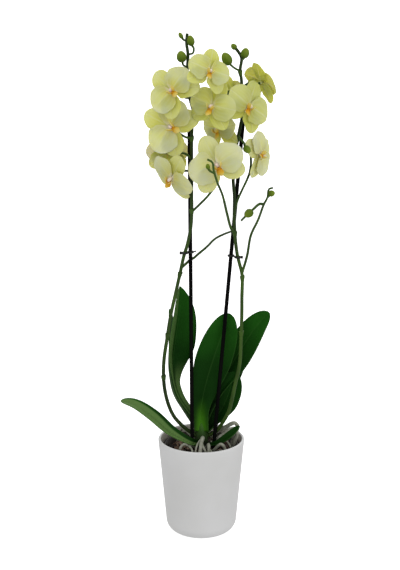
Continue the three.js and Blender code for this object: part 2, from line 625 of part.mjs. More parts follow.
add("pot", pot(), "glaze");
add("liner_pot", liner(), "clearPlastic");
add("bark", bark([core, ...rootHoles, ...stickHoles]), "bark");
add("crown", crown(0), "leaf");
for (const { name, solid } of leaves()) add(name, solid, "leaf");
for (const root of ROOTS) add(root.name, largest(cut(rootTube(root, 0), [core])), "root");
for (const stick of STICKS) add(stick.name, stickRod(stick, 0), "stick");
for (const data of CLIPS) add(data.name, clip(data), "clip");
for (const data of SPIKES) add(data.name, largest(cut(spike(data), [core])), "stem");

const tepals = geometryOf(bloomTepals());
const lip = geometryOf(bloomLip());
for (const bloom of BLOOMS) {
  const whole = new THREE.Group();
  whole.position.set(...bloom.at);
  whole.quaternion.copy(bloomTurn(bloom));
  const scale = new THREE.Matrix4().makeScale(bloom.size, bloom.size, bloom.size);
  add(`${bloom.name}_tepals`, tepals.clone().applyMatrix4(scale), "tepal", whole);
  add(`${bloom.name}_lip`, lip.clone().applyMatrix4(scale), "lip", whole);
  orchid.add(whole);
}

export default orchid;
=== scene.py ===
import random
from math import copysign, cos, exp, pi, radians, sin, sqrt

import bpy
import numpy as np
from mathutils import Matrix, Vector


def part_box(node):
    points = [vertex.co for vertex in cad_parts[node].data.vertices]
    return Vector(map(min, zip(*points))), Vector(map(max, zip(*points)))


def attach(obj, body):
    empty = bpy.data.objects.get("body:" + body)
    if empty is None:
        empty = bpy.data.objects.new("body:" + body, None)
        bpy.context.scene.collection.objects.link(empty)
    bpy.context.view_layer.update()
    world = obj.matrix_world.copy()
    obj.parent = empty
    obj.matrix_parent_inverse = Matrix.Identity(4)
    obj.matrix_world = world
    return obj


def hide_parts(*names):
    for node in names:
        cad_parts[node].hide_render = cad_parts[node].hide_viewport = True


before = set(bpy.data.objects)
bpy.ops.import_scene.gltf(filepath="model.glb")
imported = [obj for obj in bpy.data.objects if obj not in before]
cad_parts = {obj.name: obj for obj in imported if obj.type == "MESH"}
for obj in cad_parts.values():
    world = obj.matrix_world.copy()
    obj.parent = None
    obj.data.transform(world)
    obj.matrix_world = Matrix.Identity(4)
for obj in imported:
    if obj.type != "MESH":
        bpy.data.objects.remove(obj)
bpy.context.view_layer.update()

# Places and sizes are in millimetres, as on the solids, and become metres when a piece is made.
MM = 0.001

# Sizes taken from the frame
POT_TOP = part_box("pot")[1] / MM
LINER_LOW, LINER_TOP = (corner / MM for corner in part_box("liner_pot"))
BARK_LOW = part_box("bark")[0] / MM
CROWN_LOW, CROWN_TOP = (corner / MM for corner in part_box("crown"))

# Driving dimensions that the frame doesn't give: pot, liner and bark
POT_LOW_RADIUS = 54.5
POT_CORNER = 18
POT_WALL = 4.2
POT_FLOOR = 7
POT_SIDES = 128
LINER_WALL = 0.9
LINER_LOW_RADIUS = 40.5
LINER_LIP = 2.2
LINER_SIDES = 96
BARK_TOP = 132
BARK_SIDES = 40

# A chip's length, width and depth are drawn between two limits. Its outline is in shares of depth and reach.
CHIP_COUNT = 330
CHIP_LONG, CHIP_WIDE, CHIP_DEEP = (5, 13), (4, 8), (1.8, 4.5)
CHIP_OUTLINE = [(-1, 0.72), (-0.75, 1), (0, 1.05), (0.75, 1), (1, 0.72)]
CHIP_TURN = 2.39996
CHIP_SEED = 7

# Leaves, with the shares of their length where they start to taper and where they end
LEAF_THICKNESS = 1.7
LEAF_TAPER = 0.6
LEAF_END = 0.998
LEAF_ARCH = 0.16
LEAF_RIPPLE = 0.02

# Stems, with their radii at foot and tip, and the heights where they darken and where leaves shade them.
# A bract's outline is in heights and in widths more than its stem's radius.
SPIKE_RADII = (2.9, 2.2)
BRANCH_RADII = (2.1, 1.5)
PEDICEL_RADII = (1.7, 2)
STALK_RADII = (1.5, 1.8)
BRACT_OUTLINE = [(-3.5, 0.15), (-2, 0.45), (1, 0.9), (3, 1.2), (3.4, 0.9)]
STEM_DARKENS = (420, 560)
LEAF_SHADOW = (260, 340)

# Sticks, and clips with the width and height of their bars
STICK_RADIUS = 3
STICK_FOOT = 9
CLIP_WALL = 1.4
CLIP_HEIGHT = 2.8
CLIP_SIDES = 36
CLIP_BAR, CLIP_TAIL, CLIP_GRIP = (2.2, 2.4), (2, 2.2), (2, 4.6)
CLIP_STEM_PLAY = 1.2
CLIP_STICK_PLAY = 0.8

# Blooms, with angles in degrees
BLOOM_SEAT = 4.6
TEPAL_THICKNESS = 0.7
LIP_THICKNESS = 0.8
TEPAL_START = 0.8
TEPAL_WIDENS = -0.4
PETAL_ANGLE = 84
LATERAL_ANGLE = 130
LIP_DROOP = 32

# A tepal's mark, its reach and half width, and how its sides fall back, splay and narrow to a claw. back,
# rise, bend and side place and curve its face, and wave, crease and wobble are its edge, midrib and outline.
PETAL = dict(
    mark=0, reach=38, half=21, shoulder=4.5, splay=0.05, claw=0.7, back=1.3, rise=2.2, bend=6.5, side=-1.4,
    wave=1.1, crease=0.8, wobble=0.05,
)
SEPAL = dict(
    mark=2, reach=40, half=14.5, shoulder=0, splay=0, claw=0.42, back=-2.3, rise=0, bend=6, side=1.2,
    wave=0.6, crease=0.6, wobble=0.045,
)
TEPALS = [
    (SEPAL, 0), (SEPAL, LATERAL_ANGLE), (SEPAL, -LATERAL_ANGLE), (PETAL, PETAL_ANGLE), (PETAL, -PETAL_ANGLE),
]

# The lip's lobes with their roots and turns, its callus, the column, and the hub in heights and radii
TONGUE = dict(length=14.5, half=4.4, lift=-1, curl=-0.12, point=0.45)
TONGUE_ROOT = (0, -3.2, 3.2)
WING = dict(length=8.5, half=3.6, lift=2, curl=0.06)
WING_ROOT = (3.2, -6, 5)
WING_TILT = 36
WING_SPREAD = 60
CALLUS_ROOT = (0.9, -5.6, 5.4)
CALLUS_RADIUS = 1.5
CALLUS_HALF = 1.9
COLUMN_RADIUS = 2.15
COLUMN_CAP = 0.78
HUB_OUTLINE = [(-5.2, 1.9), (-4.4, 2.8), (-3, 3.3), (-1, 3.3), (0.6, 3), (1.6, 2.2)]

# The crown's outline, in shares of its height and of its radius
CROWN_SIDES = 28
CROWN_OUTLINE = [
    (0, 0.72), (0.2, 0.85), (0.4, 1), (0.58, 0.98), (0.75, 0.82), (0.86, 0.66), (0.95, 0.4), (1, 0.02),
]

# Each bloom: where its tepals meet, how it is turned in degrees, its size, how green its tepals are, below 0
# where they are pale, and how strong its lip's colour is
BLOOMS = [
    dict(name="bloom_01", at=(-42, -42, 673), yaw=-20, pitch=12, roll=50, size=0.98, green=0.15, heat=0.35),
    dict(name="bloom_02", at=(-45, -25, 622), yaw=-6, pitch=6, roll=64, size=1.07, green=0.03, heat=0.3),
    dict(name="bloom_03", at=(-42, -26, 550), yaw=-46, pitch=-24, roll=-38, size=0.98, green=-0.05, heat=0.9),
    dict(name="bloom_04", at=(11, -58, 700), yaw=24, pitch=12, roll=-20, size=0.84, green=0.4, heat=0.55),
    dict(name="bloom_05", at=(15, -40, 652), yaw=-22, pitch=6, roll=-18, size=0.93, green=0.48, heat=0.6),
    dict(name="bloom_06", at=(67, -24, 651), yaw=32, pitch=4, roll=-32, size=0.98, green=0.59, heat=0.9),
    dict(name="bloom_07", at=(87, 12, 684), yaw=125, pitch=25, roll=20, size=0.84, green=0.95, heat=0.3),
    dict(name="bloom_08", at=(21, -42, 570), yaw=4, pitch=6, roll=26, size=1.1, green=-0.3, heat=0.8),
    dict(name="bloom_09", at=(24.5, 4, 618), yaw=-48, pitch=-8, roll=4, size=0.9, green=0.3, heat=0.6),
    dict(name="bloom_10", at=(87, 12, 580), yaw=56, pitch=0, roll=-70, size=0.92, green=-0.4, heat=0.3),
    dict(name="bloom_11", at=(46, 37, 670), yaw=130, pitch=6, roll=-15, size=0.62, green=0.7, heat=0.5),
    dict(name="bloom_12", at=(-50, 16, 583), yaw=185, pitch=0, roll=0, size=0.84, green=0.1, heat=0.5),
]

# Each leaf: the widths of its halves, its stalk and neck, its midrib, and the way that its upper face looks.
# pale and the marks for the stalk and the folded edge are painted light: how pale the leaf is on its lit
# side, on its stalk and on its folded edge. fresh is how green its foot is, and brighten how near its tip
# comes to the painted light at the tips of other leaves.
LEAVES = [
    dict(
        name="leaf_low_left", halves=(13.5, 13.5), neck=0.1, stalk=0.6, fold=(42, 18), pale=1,
        rib=[(-4, -13, 140), (-18, -27, 149), (-46, -31, 167), (-74, -33, 193), (-100, -36, 212),
             (-120, -38, 219)],
        face=[(0.3, -0.6, 1), (0.35, -0.55, 1), (0.3, -0.4, 1)],
    ),
    dict(
        name="leaf_tall_left", halves=(14, 33), neck=0.3, stalk=0.26, fold=(38, 22), point=0.8,
        lit_stalk=0.7, lit_edge=0.6,
        rib=[(-6, 3, 168), (-20, 4, 188), (-33, 6, 208), (-40, 8, 228), (-43, 10, 250), (-43, 12, 276),
             (-39, 12, 307), (-34, 11, 343), (-32, 8, 384)],
        face=[(1, -0.35, 0.4), (0.85, -1, 0), (0.5, -1, 0.1)],
    ),
    dict(
        name="leaf_back_left", halves=(20, 20), neck=0.1, stalk=0.4, fold=(36, 12),
        rib=[(-8, 5, 158), (-26, 12, 184), (-43, 19, 212), (-50, 24, 250), (-49, 28, 295), (-49, 32, 343)],
        face=[(1, 0.1, 0.7), (1, -0.1, 0.1), (1, -0.2, 0.2)],
    ),
    dict(
        name="leaf_centre", halves=(28, 28), neck=0.1, stalk=0.46, fold=(34, 9), fresh=0.9,
        rib=[(0, -4, 160), (0, 2, 196), (8, 6, 236), (20, 8, 276), (32, 7, 312), (42, 4, 343)],
        face=[(0, -1, 0.3), (0.1, -1, 0.1), (0.05, -1, 0.1)],
    ),
    dict(
        name="leaf_right", halves=(24, 24), neck=0.1, stalk=0.4, fold=(36, 12),
        rib=[(6, 8, 166), (20, 19, 200), (38, 24, 240), (62, 25, 282), (84, 22, 318), (103, 19, 341)],
        face=[(-0.7, -0.7, 1), (-0.45, -1, 0.3), (-0.5, -1, 0.5)],
    ),
    dict(
        name="leaf_back_right", halves=(18, 18), neck=0.1, stalk=0.4, fold=(38, 14), brighten=0.4,
        rib=[(8, 10, 152), (24, 26, 184), (38, 34, 216), (52, 38, 246), (68, 40, 278)],
        face=[(-0.8, -0.4, 1), (-0.6, -1, 0.3), (-0.5, -1, 0.3)],
    ),
    dict(
        name="leaf_low_right", halves=(21, 21), neck=0.05, stalk=0.55, fold=(36, 14), brighten=0.4,
        rib=[(8, 4, 154), (22, 9, 173), (35, 12, 196), (44, 13, 220), (51, 13, 249)],
        face=[(-0.7, -0.6, 0.8), (-0.35, -1, 0.25), (-0.2, -1, 0.2)],
    ),
    dict(
        name="leaf_small_right", halves=(6.5, 6.5), neck=0.1, stalk=0.5, fold=(30, 12), brighten=0.4,
        rib=[(9, -11, 140), (22, -20, 145), (40, -24, 158), (58, -25, 175)],
        face=[(-0.3, -0.5, 1), (-0.4, -0.7, 1), (-0.4, -0.6, 1)],
    ),
]

ROOTS = [
    dict(name="root_front_left", radius=2.3,
         route=[(-7, -11, 137), (-18, -30, 145), (-27, -39, 151), (-33, -37, 140), (-34, -35, 118)]),
    dict(name="root_front", radius=3.2,
         route=[(2, -12, 148), (2, -24, 156), (0, -36, 151), (-2, -44, 138), (-2, -44, 116)]),
    dict(name="root_front_arch", radius=2.8,
         route=[(4, -12, 128), (9, -22, 141), (11, -32, 148), (11, -39, 140), (10, -40, 116)]),
    dict(name="root_front_right", radius=2.5,
         route=[(9, -9, 124), (20, -26, 138), (30, -35, 150), (36, -34, 141), (37, -32, 116)]),
    dict(name="root_back_right", radius=3.5,
         route=[(12, 6, 146), (24, 9, 154), (38, 6, 163), (51, 3, 170), (56, 7, 162), (51, 13, 146),
                (45, 15, 118)]),
    dict(name="root_right", radius=3.4,
         route=[(11, -2, 134), (24, -4, 146), (37, -8, 157), (49, -12, 167), (54, -9, 158), (51.5, -5, 144),
                (46, -3, 118)]),
    dict(name="root_back_left", radius=2.5,
         route=[(-10, 8, 139), (-22, 24, 149), (-30, 34, 150), (-36, 35, 136), (-36, 32, 116)]),
    dict(name="root_back", radius=2.2,
         route=[(2, 12, 140), (8, 26, 152), (12, 38, 148), (13, 44, 134), (13, 44, 116)]),
]

# Side roots, each on one of the roots above: its radius and its route
ROOTLETS = [
    ("root_front", 1.9, [(1, -36, 151), (4, -41, 145), (7, -43, 138), (9, -46, 131), (13, -47, 128)]),
    ("root_front", 1.6, [(2, -24, 156), (-3, -31, 153), (-7, -37, 147), (-9, -42, 138), (-9, -45, 129)]),
    ("root_front_left", 1.7, [(-20, -32, 147), (-14, -41, 143), (-15, -46, 136), (-19, -48, 129)]),
    ("root_front_arch", 1.7, [(11, -33, 143), (16, -41, 139), (22, -43, 132), (27, -43, 128)]),
    ("root_front_right", 1.5, [(21, -27, 135), (29, -25, 136), (38, -24, 133), (43, -22, 128)]),
    ("root_right", 1.6, [(30, -6, 151), (37, -15, 149), (44, -21, 141), (46, -21, 131)]),
]

STICKS = [
    dict(name="stick_left", foot=(-13, -18), head=(-17.5, 4, 634)),
    dict(name="stick_right", foot=(8, -15), head=(61, 8, 634)),
]

CLIPS = [
    dict(name="clip_left", height=437.5, stem=(-24.6, -10.5), stem_radius=2.8, stick=0, tail=11),
    dict(name="clip_right", height=431.5, stem=(53.6, -12), stem_radius=2.9, stick=1, tail=6),
]

# The flower spikes. A branch, a bloom's stalk or a bud's stalk starts at a point on what carries it.
SPIKE_LEFT = dict(
    name="spike_left", shadow=0.45,
    route=[
        (-8, -4, 152), (-19, -5, 160), (-30, -9, 171), (-42, -13, 187), (-51, -17, 211), (-56, -20, 240),
        (-56, -21, 274), (-51, -20, 310), (-45, -18, 347), (-38, -15, 378), (-31, -12, 409), (-26, -11, 432),
        (-20, -9, 452), (-15, -9, 480), (-14, -9, 520), (-14, -9, 560), (-14, -9, 600), (-13, -9, 625),
        (-11, -9, 640), (-15, -9, 655), (-19, -9, 672), (-20, -9, 700), (-19, -9, 722), (-21, -9, 738),
        (-20, -9, 751),
    ],
    nodes=[(-56, -15, 250), (-50, -15, 314), (-32, -12, 406), (-14, -9, 498), (-14, -9, 603), (-20, -9, 692)],
    branches=[
        [(-29, -11.5, 416), (-23, -4, 420), (-17, 5, 424), (-11, 7, 427), (-5, 9, 432), (8, 9.5, 443),
         (20, 9.5, 455), (33, 9.5, 462), (46, 9.5, 467)],
    ],
    pedicels=[
        ("bloom_01", [(-17, -9, 662), (-22, -15, 662)]),
        ("bloom_02", [(-14, -9, 604), (-24, -12, 607)]),
        ("bloom_03", [(-14, -9, 552), (-18, -6, 557)]),
        ("bloom_04", [(-20, -9, 692), (-10, -22, 690)]),
        ("bloom_05", [(-12, -9, 636), (-4, -16, 644)]),
        ("bloom_12", [(-14, -9, 575), (-24, -12, 583)]),
        ("bloom_08", [(-14, -9, 498), (-2, -12, 510), (10, -16, 523), (20, -19, 538), (22, -20, 555)]),
    ],
    buds=[
        dict(at=(-29, -9, 748), size=(3.2, 4.8), lean=(-6, 0, 10), stalk=[(-21, -9, 740), (-26, -9, 743)]),
        dict(at=(-15, -9, 741), size=(5.6, 7.6), lean=(-2, 0, 10),
             stalk=[(-19, -9, 722), (-12, -9, 724), (-11, -9, 731)]),
        dict(at=(-28, -11, 719), size=(7.2, 8.2), lean=(-2, 0, 10), stalk=[(-20, -9, 704), (-26, -10, 708)]),
    ],
)
SPIKE_RIGHT = dict(
    name="spike_right",
    route=[
        (9, 1, 150), (22, -2, 158), (33, -9, 176), (41, -16, 194), (46, -20, 215), (51, -20, 241),
        (57, -18, 269), (59, -16, 306), (60, -14, 343), (60, -13, 370), (60, -13, 405), (56, -12, 422),
        (53, -12, 434), (50, -12, 455), (48, -11, 487), (48, -10, 519), (46, -9, 547), (48, -7, 575),
        (52, -6, 602), (56, -5, 622), (59, -4, 640), (58, -4, 665), (57, -4, 687), (55, -4, 700),
        (57, -4, 717), (53, -4, 725), (48, -4, 731),
    ],
    nodes=[(59, -16, 316), (60, -13, 400), (49, -11.5, 466), (52, -6, 603), (58, -4, 672), (56, -4, 696)],
    branches=[
        [(49, -11.5, 466), (43, -21, 476), (37, -36, 498), (30, -52, 527), (22, -67, 548), (17, -73, 565),
         (15, -74, 576), (8, -74, 580)],
        [(60, -13, 408), (67, -17, 435), (72, -19, 465), (82, -22, 488), (90, -24, 511), (95, -24, 521),
         (97, -24, 533), (103, -24, 535)],
        [(90, -24, 511), (84, -26, 512), (74, -28, 504), (64, -29, 495), (57, -30, 488)],
    ],
    pedicels=[
        ("bloom_06", [(58, -5, 632), (62, -11, 637)]),
        ("bloom_07", [(58, -4, 676), (68, -1, 682)]),
        ("bloom_09", [(52, -6, 603), (50, 6, 607)]),
        ("bloom_10", [(48, -10.5, 497), (52, -8, 513), (59, 0, 528), (66, 9, 541), (71, 15, 553),
                      (73, 20, 566)]),
        ("bloom_11", [(58, -4, 660), (56, 6, 663)]),
    ],
    buds=[
        dict(at=(36, -6, 716), size=(7.4, 9.8), lean=(-5, 0, 9), stalk=[(55, -4, 699), (46, -5, 704)]),
        dict(at=(46, -4, 733), size=(4.2, 4.8), lean=(-6, 0, 6), stalk=[(50, -4, 729), (48, -4, 731)]),
        dict(at=(62, -5, 724), size=(6.2, 7.4), lean=(3, 0, 10), stalk=[(57, -4, 714), (60, -5, 716)]),
        dict(at=(65, -26, 590), size=(5.2, 6.4), lean=(6, -3, -7),
             stalk=[(53, -6, 608), (57, -16, 603), (61, -24, 598)]),
        dict(at=(101, -25, 527), size=(4.8, 4.8), lean=(8, 0, 2), stalk=[(95, -24, 521), (98, -25, 524)]),
        dict(at=(68, -31, 499), size=(6.2, 7.2), lean=(-8, 0, -6), stalk=[(75, -28, 505), (72, -30, 503)]),
        dict(at=(9, -73, 570), size=(3.2, 4.2), lean=(-2, 0, 10), stalk=[(19, -71, 560), (12, -73, 564)]),
    ],
)
SPIKES = [SPIKE_LEFT, SPIKE_RIGHT]


def mix(a, b, share):
    return a + (b - a) * share


def smooth(x, low, high):
    share = min(1, max(0, (x - low) / (high - low)))
    return share * share * (3 - 2 * share)


def shade(red, green, blue):
    """A display colour from 0 to 255 as a linear colour."""
    def linear(value):
        value /= 255
        return value / 12.92 if value <= 0.04045 else ((value + 0.055) / 1.055) ** 2.4
    return (linear(red), linear(green), linear(blue), 1)


def between(a, b, share):
    """A colour part of the way from one to another."""
    return tuple(mix(p, q, share) for p, q in zip(a, b))


def turns(sides):
    """The angles round a ring, each with its share of a full turn."""
    return [(2 * pi * k / sides, k / sides) for k in range(sides)]


def polar(radius, angle, height):
    return Vector((radius * cos(angle), radius * sin(angle), height))


# Curves

class Route:
    """A smooth centripetal curve through points, read at shares of its length."""

    def __init__(self, points, samples=240):
        self.points = [np.array(point, float) for point in points]
        self.samples = np.array([self._place(i / samples) for i in range(samples + 1)])
        steps = np.linalg.norm(np.diff(self.samples, axis=0), axis=1)
        self.reach = np.concatenate([[0], np.cumsum(steps)])
        self.length = self.reach[-1]

    def _place(self, share):
        points = self.points
        last = len(points) - 1
        first = min(int(share * last), last - 1)
        here = share * last - first
        p1, p2 = points[first], points[first + 1]
        p0 = points[first - 1] if first > 0 else 2 * p1 - p2
        p3 = points[first + 2] if first + 2 <= last else 2 * p2 - p1
        d0, d1, d2 = (max(sqrt(np.linalg.norm(b - a)), 1e-4) for a, b in ((p0, p1), (p1, p2), (p2, p3)))
        start = ((p1 - p0) / d0 - (p2 - p0) / (d0 + d1) + (p2 - p1) / d1) * d1
        end = ((p2 - p1) / d1 - (p3 - p1) / (d1 + d2) + (p3 - p2) / d2) * d1
        square = -3 * p1 + 3 * p2 - 2 * start - end
        cube = 2 * p1 - 2 * p2 + start + end
        return p1 + here * (start + here * (square + here * cube))

    def at(self, share):
        length = share * self.length
        return Vector([np.interp(length, self.reach, self.samples[:, k]) for k in range(3)])

    def heading(self, share):
        return (self.at(min(1, share + 0.004)) - self.at(max(0, share - 0.004))).normalized()

    def share_near(self, place):
        return self.reach[np.argmin(np.linalg.norm(self.samples - np.array(place), axis=1))] / self.length


# Meshes

class Shape:
    """Points, faces and marks of one piece. A mark is (along, across, tint), for the material."""

    def __init__(self):
        self.points = []
        self.marks = []
        self.faces = []

    def grid(self, rows, ring=False, caps=False):
        """Joins rows of (point, mark) pairs. ring closes each row, and caps closes the two ends."""
        start = len(self.points)
        width = len(rows[0])
        for row in rows:
            for point, mark in row:
                self.points.append(point)
                self.marks.append(mark)
        for r in range(len(rows) - 1):
            for c in range(width if ring else width - 1):
                a = start + r * width + c
                b = start + r * width + (c + 1) % width
                self.faces.append((a, b, b + width, a + width))
        if caps:
            last = start + (len(rows) - 1) * width
            self.faces.append(tuple(range(start + width - 1, start - 1, -1)))
            self.faces.append(tuple(range(last, last + width)))
        return self

    def turned(self, matrix):
        self.points = [matrix @ Vector(point) for point in self.points]
        return self

    def join(self, other):
        start = len(self.points)
        self.points += other.points
        self.marks += other.marks
        self.faces += [tuple(i + start for i in face) for face in other.faces]
        return self


def make(name, shape, materials, slot, *nodes):
    """Makes a smooth piece from a shape in millimetres, on the root body, in place of the given nodes."""
    mesh = bpy.data.meshes.new(name)
    mesh.from_pydata([Vector(point) * MM for point in shape.points], [], shape.faces)
    layer = mesh.uv_layers.new(name="span")
    tint = mesh.attributes.new("tint", "FLOAT", "POINT")
    for i, (_, _, value) in enumerate(shape.marks):
        tint.data[i].value = value
    for loop in mesh.loops:
        along, across, _ = shape.marks[loop.vertex_index]
        layer.data[loop.index].uv = (along, across)
    mesh.shade_smooth()
    for material in materials:
        mesh.materials.append(material)
    piece = bpy.data.objects.new(name, mesh)
    bpy.context.collection.objects.link(piece)
    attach(piece, "root")
    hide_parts(*nodes)
    return piece


def thicken(piece, thickness):
    """Gives an open blade its thickness. Its back takes the second material."""
    modifier = piece.modifiers.new("blade", "SOLIDIFY")
    modifier.thickness = thickness * MM
    modifier.offset = 0
    modifier.material_offset = 1
    modifier.material_offset_rim = 0


def sweep(route, radius, sides=12, stride=4, tint=0):
    """A round tube along a route. radius gives the radius at a share of the length."""
    steps = max(3, round(route.length / stride))
    heading = route.heading(0)
    across = heading.orthogonal().normalized()
    rows = []
    for step in range(steps + 1):
        share = step / steps
        turned = route.heading(share)
        across = (heading.rotation_difference(turned) @ across).normalized()
        heading = turned
        other = heading.cross(across)
        centre = route.at(share)
        row = []
        for angle, turn in turns(sides):
            way = across * cos(angle) + other * sin(angle)
            row.append((centre + way * radius(share), (share, turn, tint)))
        rows.append(row)
    return Shape().grid(rows, ring=True, caps=True)


def rings(levels, sides, place):
    """A closed body through rings. place gives a point and its mark from a level, an angle and its share."""
    rows = [[place(*level, angle, turn) for angle, turn in turns(sides)] for level in levels]
    return Shape().grid(rows, ring=True, caps=True)


def sheet(rows, columns, place):
    """An open blade. place gives a point and its mark from a share along and from -1 to 1 across."""
    return Shape().grid([
        [place(r / rows, 2 * c / columns - 1) for c in range(columns + 1)] for r in range(rows + 1)
    ])


def lathe(profile, segments):
    """A body of revolution about Z from (radius, height) pairs, which closes on itself or on the axis."""
    rows = [
        [(polar(r, angle, z), (turn, k / len(profile), 0)) for k, (r, z) in enumerate(profile)]
        for angle, turn in turns(segments)
    ]
    return Shape().grid(rows + rows[:1])


def arc(centre, radius, start, end, steps):
    """Points (radius, height) along an arc in a profile, from one angle to another in degrees."""
    points = []
    for i in range(steps + 1):
        angle = radians(mix(start, end, i / steps))
        points.append((centre[0] + radius * cos(angle), centre[1] + radius * sin(angle)))
    return points


# Materials

class Paint:
    """A node material with one Principled shader."""

    def __init__(self, name, **fixed):
        self.material = bpy.data.materials.new(name)
        self.material.use_nodes = True
        self.tree = self.material.node_tree
        self.shader = self.tree.nodes["Principled BSDF"]
        for socket, value in fixed.items():
            self.shader.inputs[socket.replace("_", " ")].default_value = value

    def node(self, kind, inputs=None, **settings):
        node = self.tree.nodes.new(kind)
        for key, value in settings.items():
            setattr(node, key, value)
        for key, value in (inputs or {}).items():
            self.set(node.inputs[key], value)
        return node

    def set(self, socket, value):
        if isinstance(value, bpy.types.NodeSocket):
            self.tree.links.new(value, socket)
        else:
            socket.default_value = value

    def math(self, operation, a, b=0.0):
        return self.node("ShaderNodeMath", {0: a, 1: b}, operation=operation).outputs[0]

    def times(self, value, factor):
        return self.math("MULTIPLY", value, factor)

    def remap(self, value, **limits):
        """A value carried from one range to another, and held at its ends."""
        limits = {key.replace("_", " "): limit for key, limit in limits.items()}
        return self.node("ShaderNodeMapRange", {"Value": value, **limits}).outputs[0]

    def off_middle(self, across):
        """How far a mark across a blade is from its midrib."""
        return self.math("ABSOLUTE", self.math("SUBTRACT", across, 0.5))

    def blend(self, factor, a, b, kind="MIX"):
        node = self.node("ShaderNodeMix", data_type="RGBA", blend_type=kind)
        for socket, value in zip((node.inputs[0], node.inputs[6], node.inputs[7]), (factor, a, b)):
            self.set(socket, value)
        return node.outputs[2]

    def ramp(self, factor, stops):
        node = self.node("ShaderNodeValToRGB", {"Fac": factor})
        elements = node.color_ramp.elements
        while len(elements) < len(stops):
            elements.new(0.5)
        for element, (position, colour) in zip(elements, stops):
            element.position = position
            element.color = colour
        return node.outputs["Color"]

    def noise(self, scale, detail=3.0, stretch=(1, 1, 1)):
        place = self.node("ShaderNodeTexCoord").outputs["Object"]
        scaled = self.node("ShaderNodeMapping", {"Vector": place, "Scale": stretch}).outputs[0]
        noise = self.node("ShaderNodeTexNoise", {"Vector": scaled, "Scale": scale, "Detail": detail})
        return noise.outputs["Fac"]

    def span(self):
        """The marks along and across a piece, from 0 to 1."""
        place = self.node("ShaderNodeUVMap", uv_map="span").outputs[0]
        parts = self.node("ShaderNodeSeparateXYZ", {0: place})
        return parts.outputs[0], parts.outputs[1]

    def tint(self):
        return self.node("ShaderNodeAttribute", attribute_name="tint").outputs["Fac"]

    def bump(self, height, strength, distance):
        values = {"Height": height, "Strength": strength, "Distance": distance * MM}
        self.set(self.shader.inputs["Normal"], self.node("ShaderNodeBump", values).outputs[0])

    def colour(self, value):
        self.set(self.shader.inputs["Base Color"], value)
        return self.material

    def rough(self, factor, low, high):
        self.set(self.shader.inputs["Roughness"], self.remap(factor, To_Min=low, To_Max=high))


def glaze():
    """White glaze, darkened by painted shade and soil stains where the wall's mark is on the inside."""
    paint = Paint("glaze", IOR=1.48, Coat_Weight=0.2, Coat_Roughness=0.25)
    _, along_wall = paint.span()
    cloud = paint.noise(14, 2)
    paint.rough(cloud, 0.42, 0.55)
    paint.bump(paint.noise(60, 2), 0.1, 0.5)
    white = paint.ramp(cloud, [(0.35, shade(203, 203, 202)), (0.65, shade(208, 208, 208))])
    # Painted shade, with soil stains: the inside wall darkens deeper into the pot.
    inner_shade_and_soil = paint.ramp(along_wall, [
        (0.74, shade(255, 255, 255)), (0.78, shade(226, 219, 206)), (0.82, shade(150, 141, 128)),
        (0.86, shade(92, 84, 74)),
    ])
    return paint.colour(paint.blend(1, white, inner_shade_and_soil, "MULTIPLY"))


def clear_plastic():
    paint = Paint("clear_plastic", IOR=1.45, Specular_IOR_Level=0.12, Alpha=0.94)
    haze = paint.noise(30, 3, (1, 1, 0.3))
    paint.rough(haze, 0.15, 0.4)
    return paint.colour(paint.ramp(haze, [(0.35, shade(20, 15, 12)), (0.7, shade(52, 45, 38))]))


def bark_skin():
    paint = Paint("bark", Specular_IOR_Level=0.2)
    grain = paint.noise(260, 6, (1, 1, 3))
    chip = paint.ramp(paint.tint(), [
        (0, shade(26, 17, 13)), (0.3, shade(50, 32, 27)), (0.6, shade(84, 60, 50)),
        (0.85, shade(134, 108, 88)), (1, shade(186, 164, 138)),
    ])
    paint.bump(grain, 0.8, 1.2)
    paint.rough(grain, 0.75, 1)
    return paint.colour(paint.blend(grain, paint.blend(0.7, chip, shade(12, 8, 6)), chip))


def root_skin():
    paint = Paint("root", Specular_IOR_Level=0.25)
    along, _ = paint.span()
    mottle = paint.noise(120, 5)
    silver = paint.ramp(mottle, [
        (0.3, shade(92, 96, 84)), (0.55, shade(146, 148, 138)), (0.8, shade(190, 190, 184)),
    ])
    green = paint.ramp(along, [
        (0, shade(96, 112, 58)), (0.25, shade(148, 150, 130)), (1, shade(140, 136, 116)),
    ])
    paint.bump(mottle, 0.6, 0.6)
    paint.rough(mottle, 0.55, 0.85)
    return paint.colour(paint.blend(0.4, silver, green))


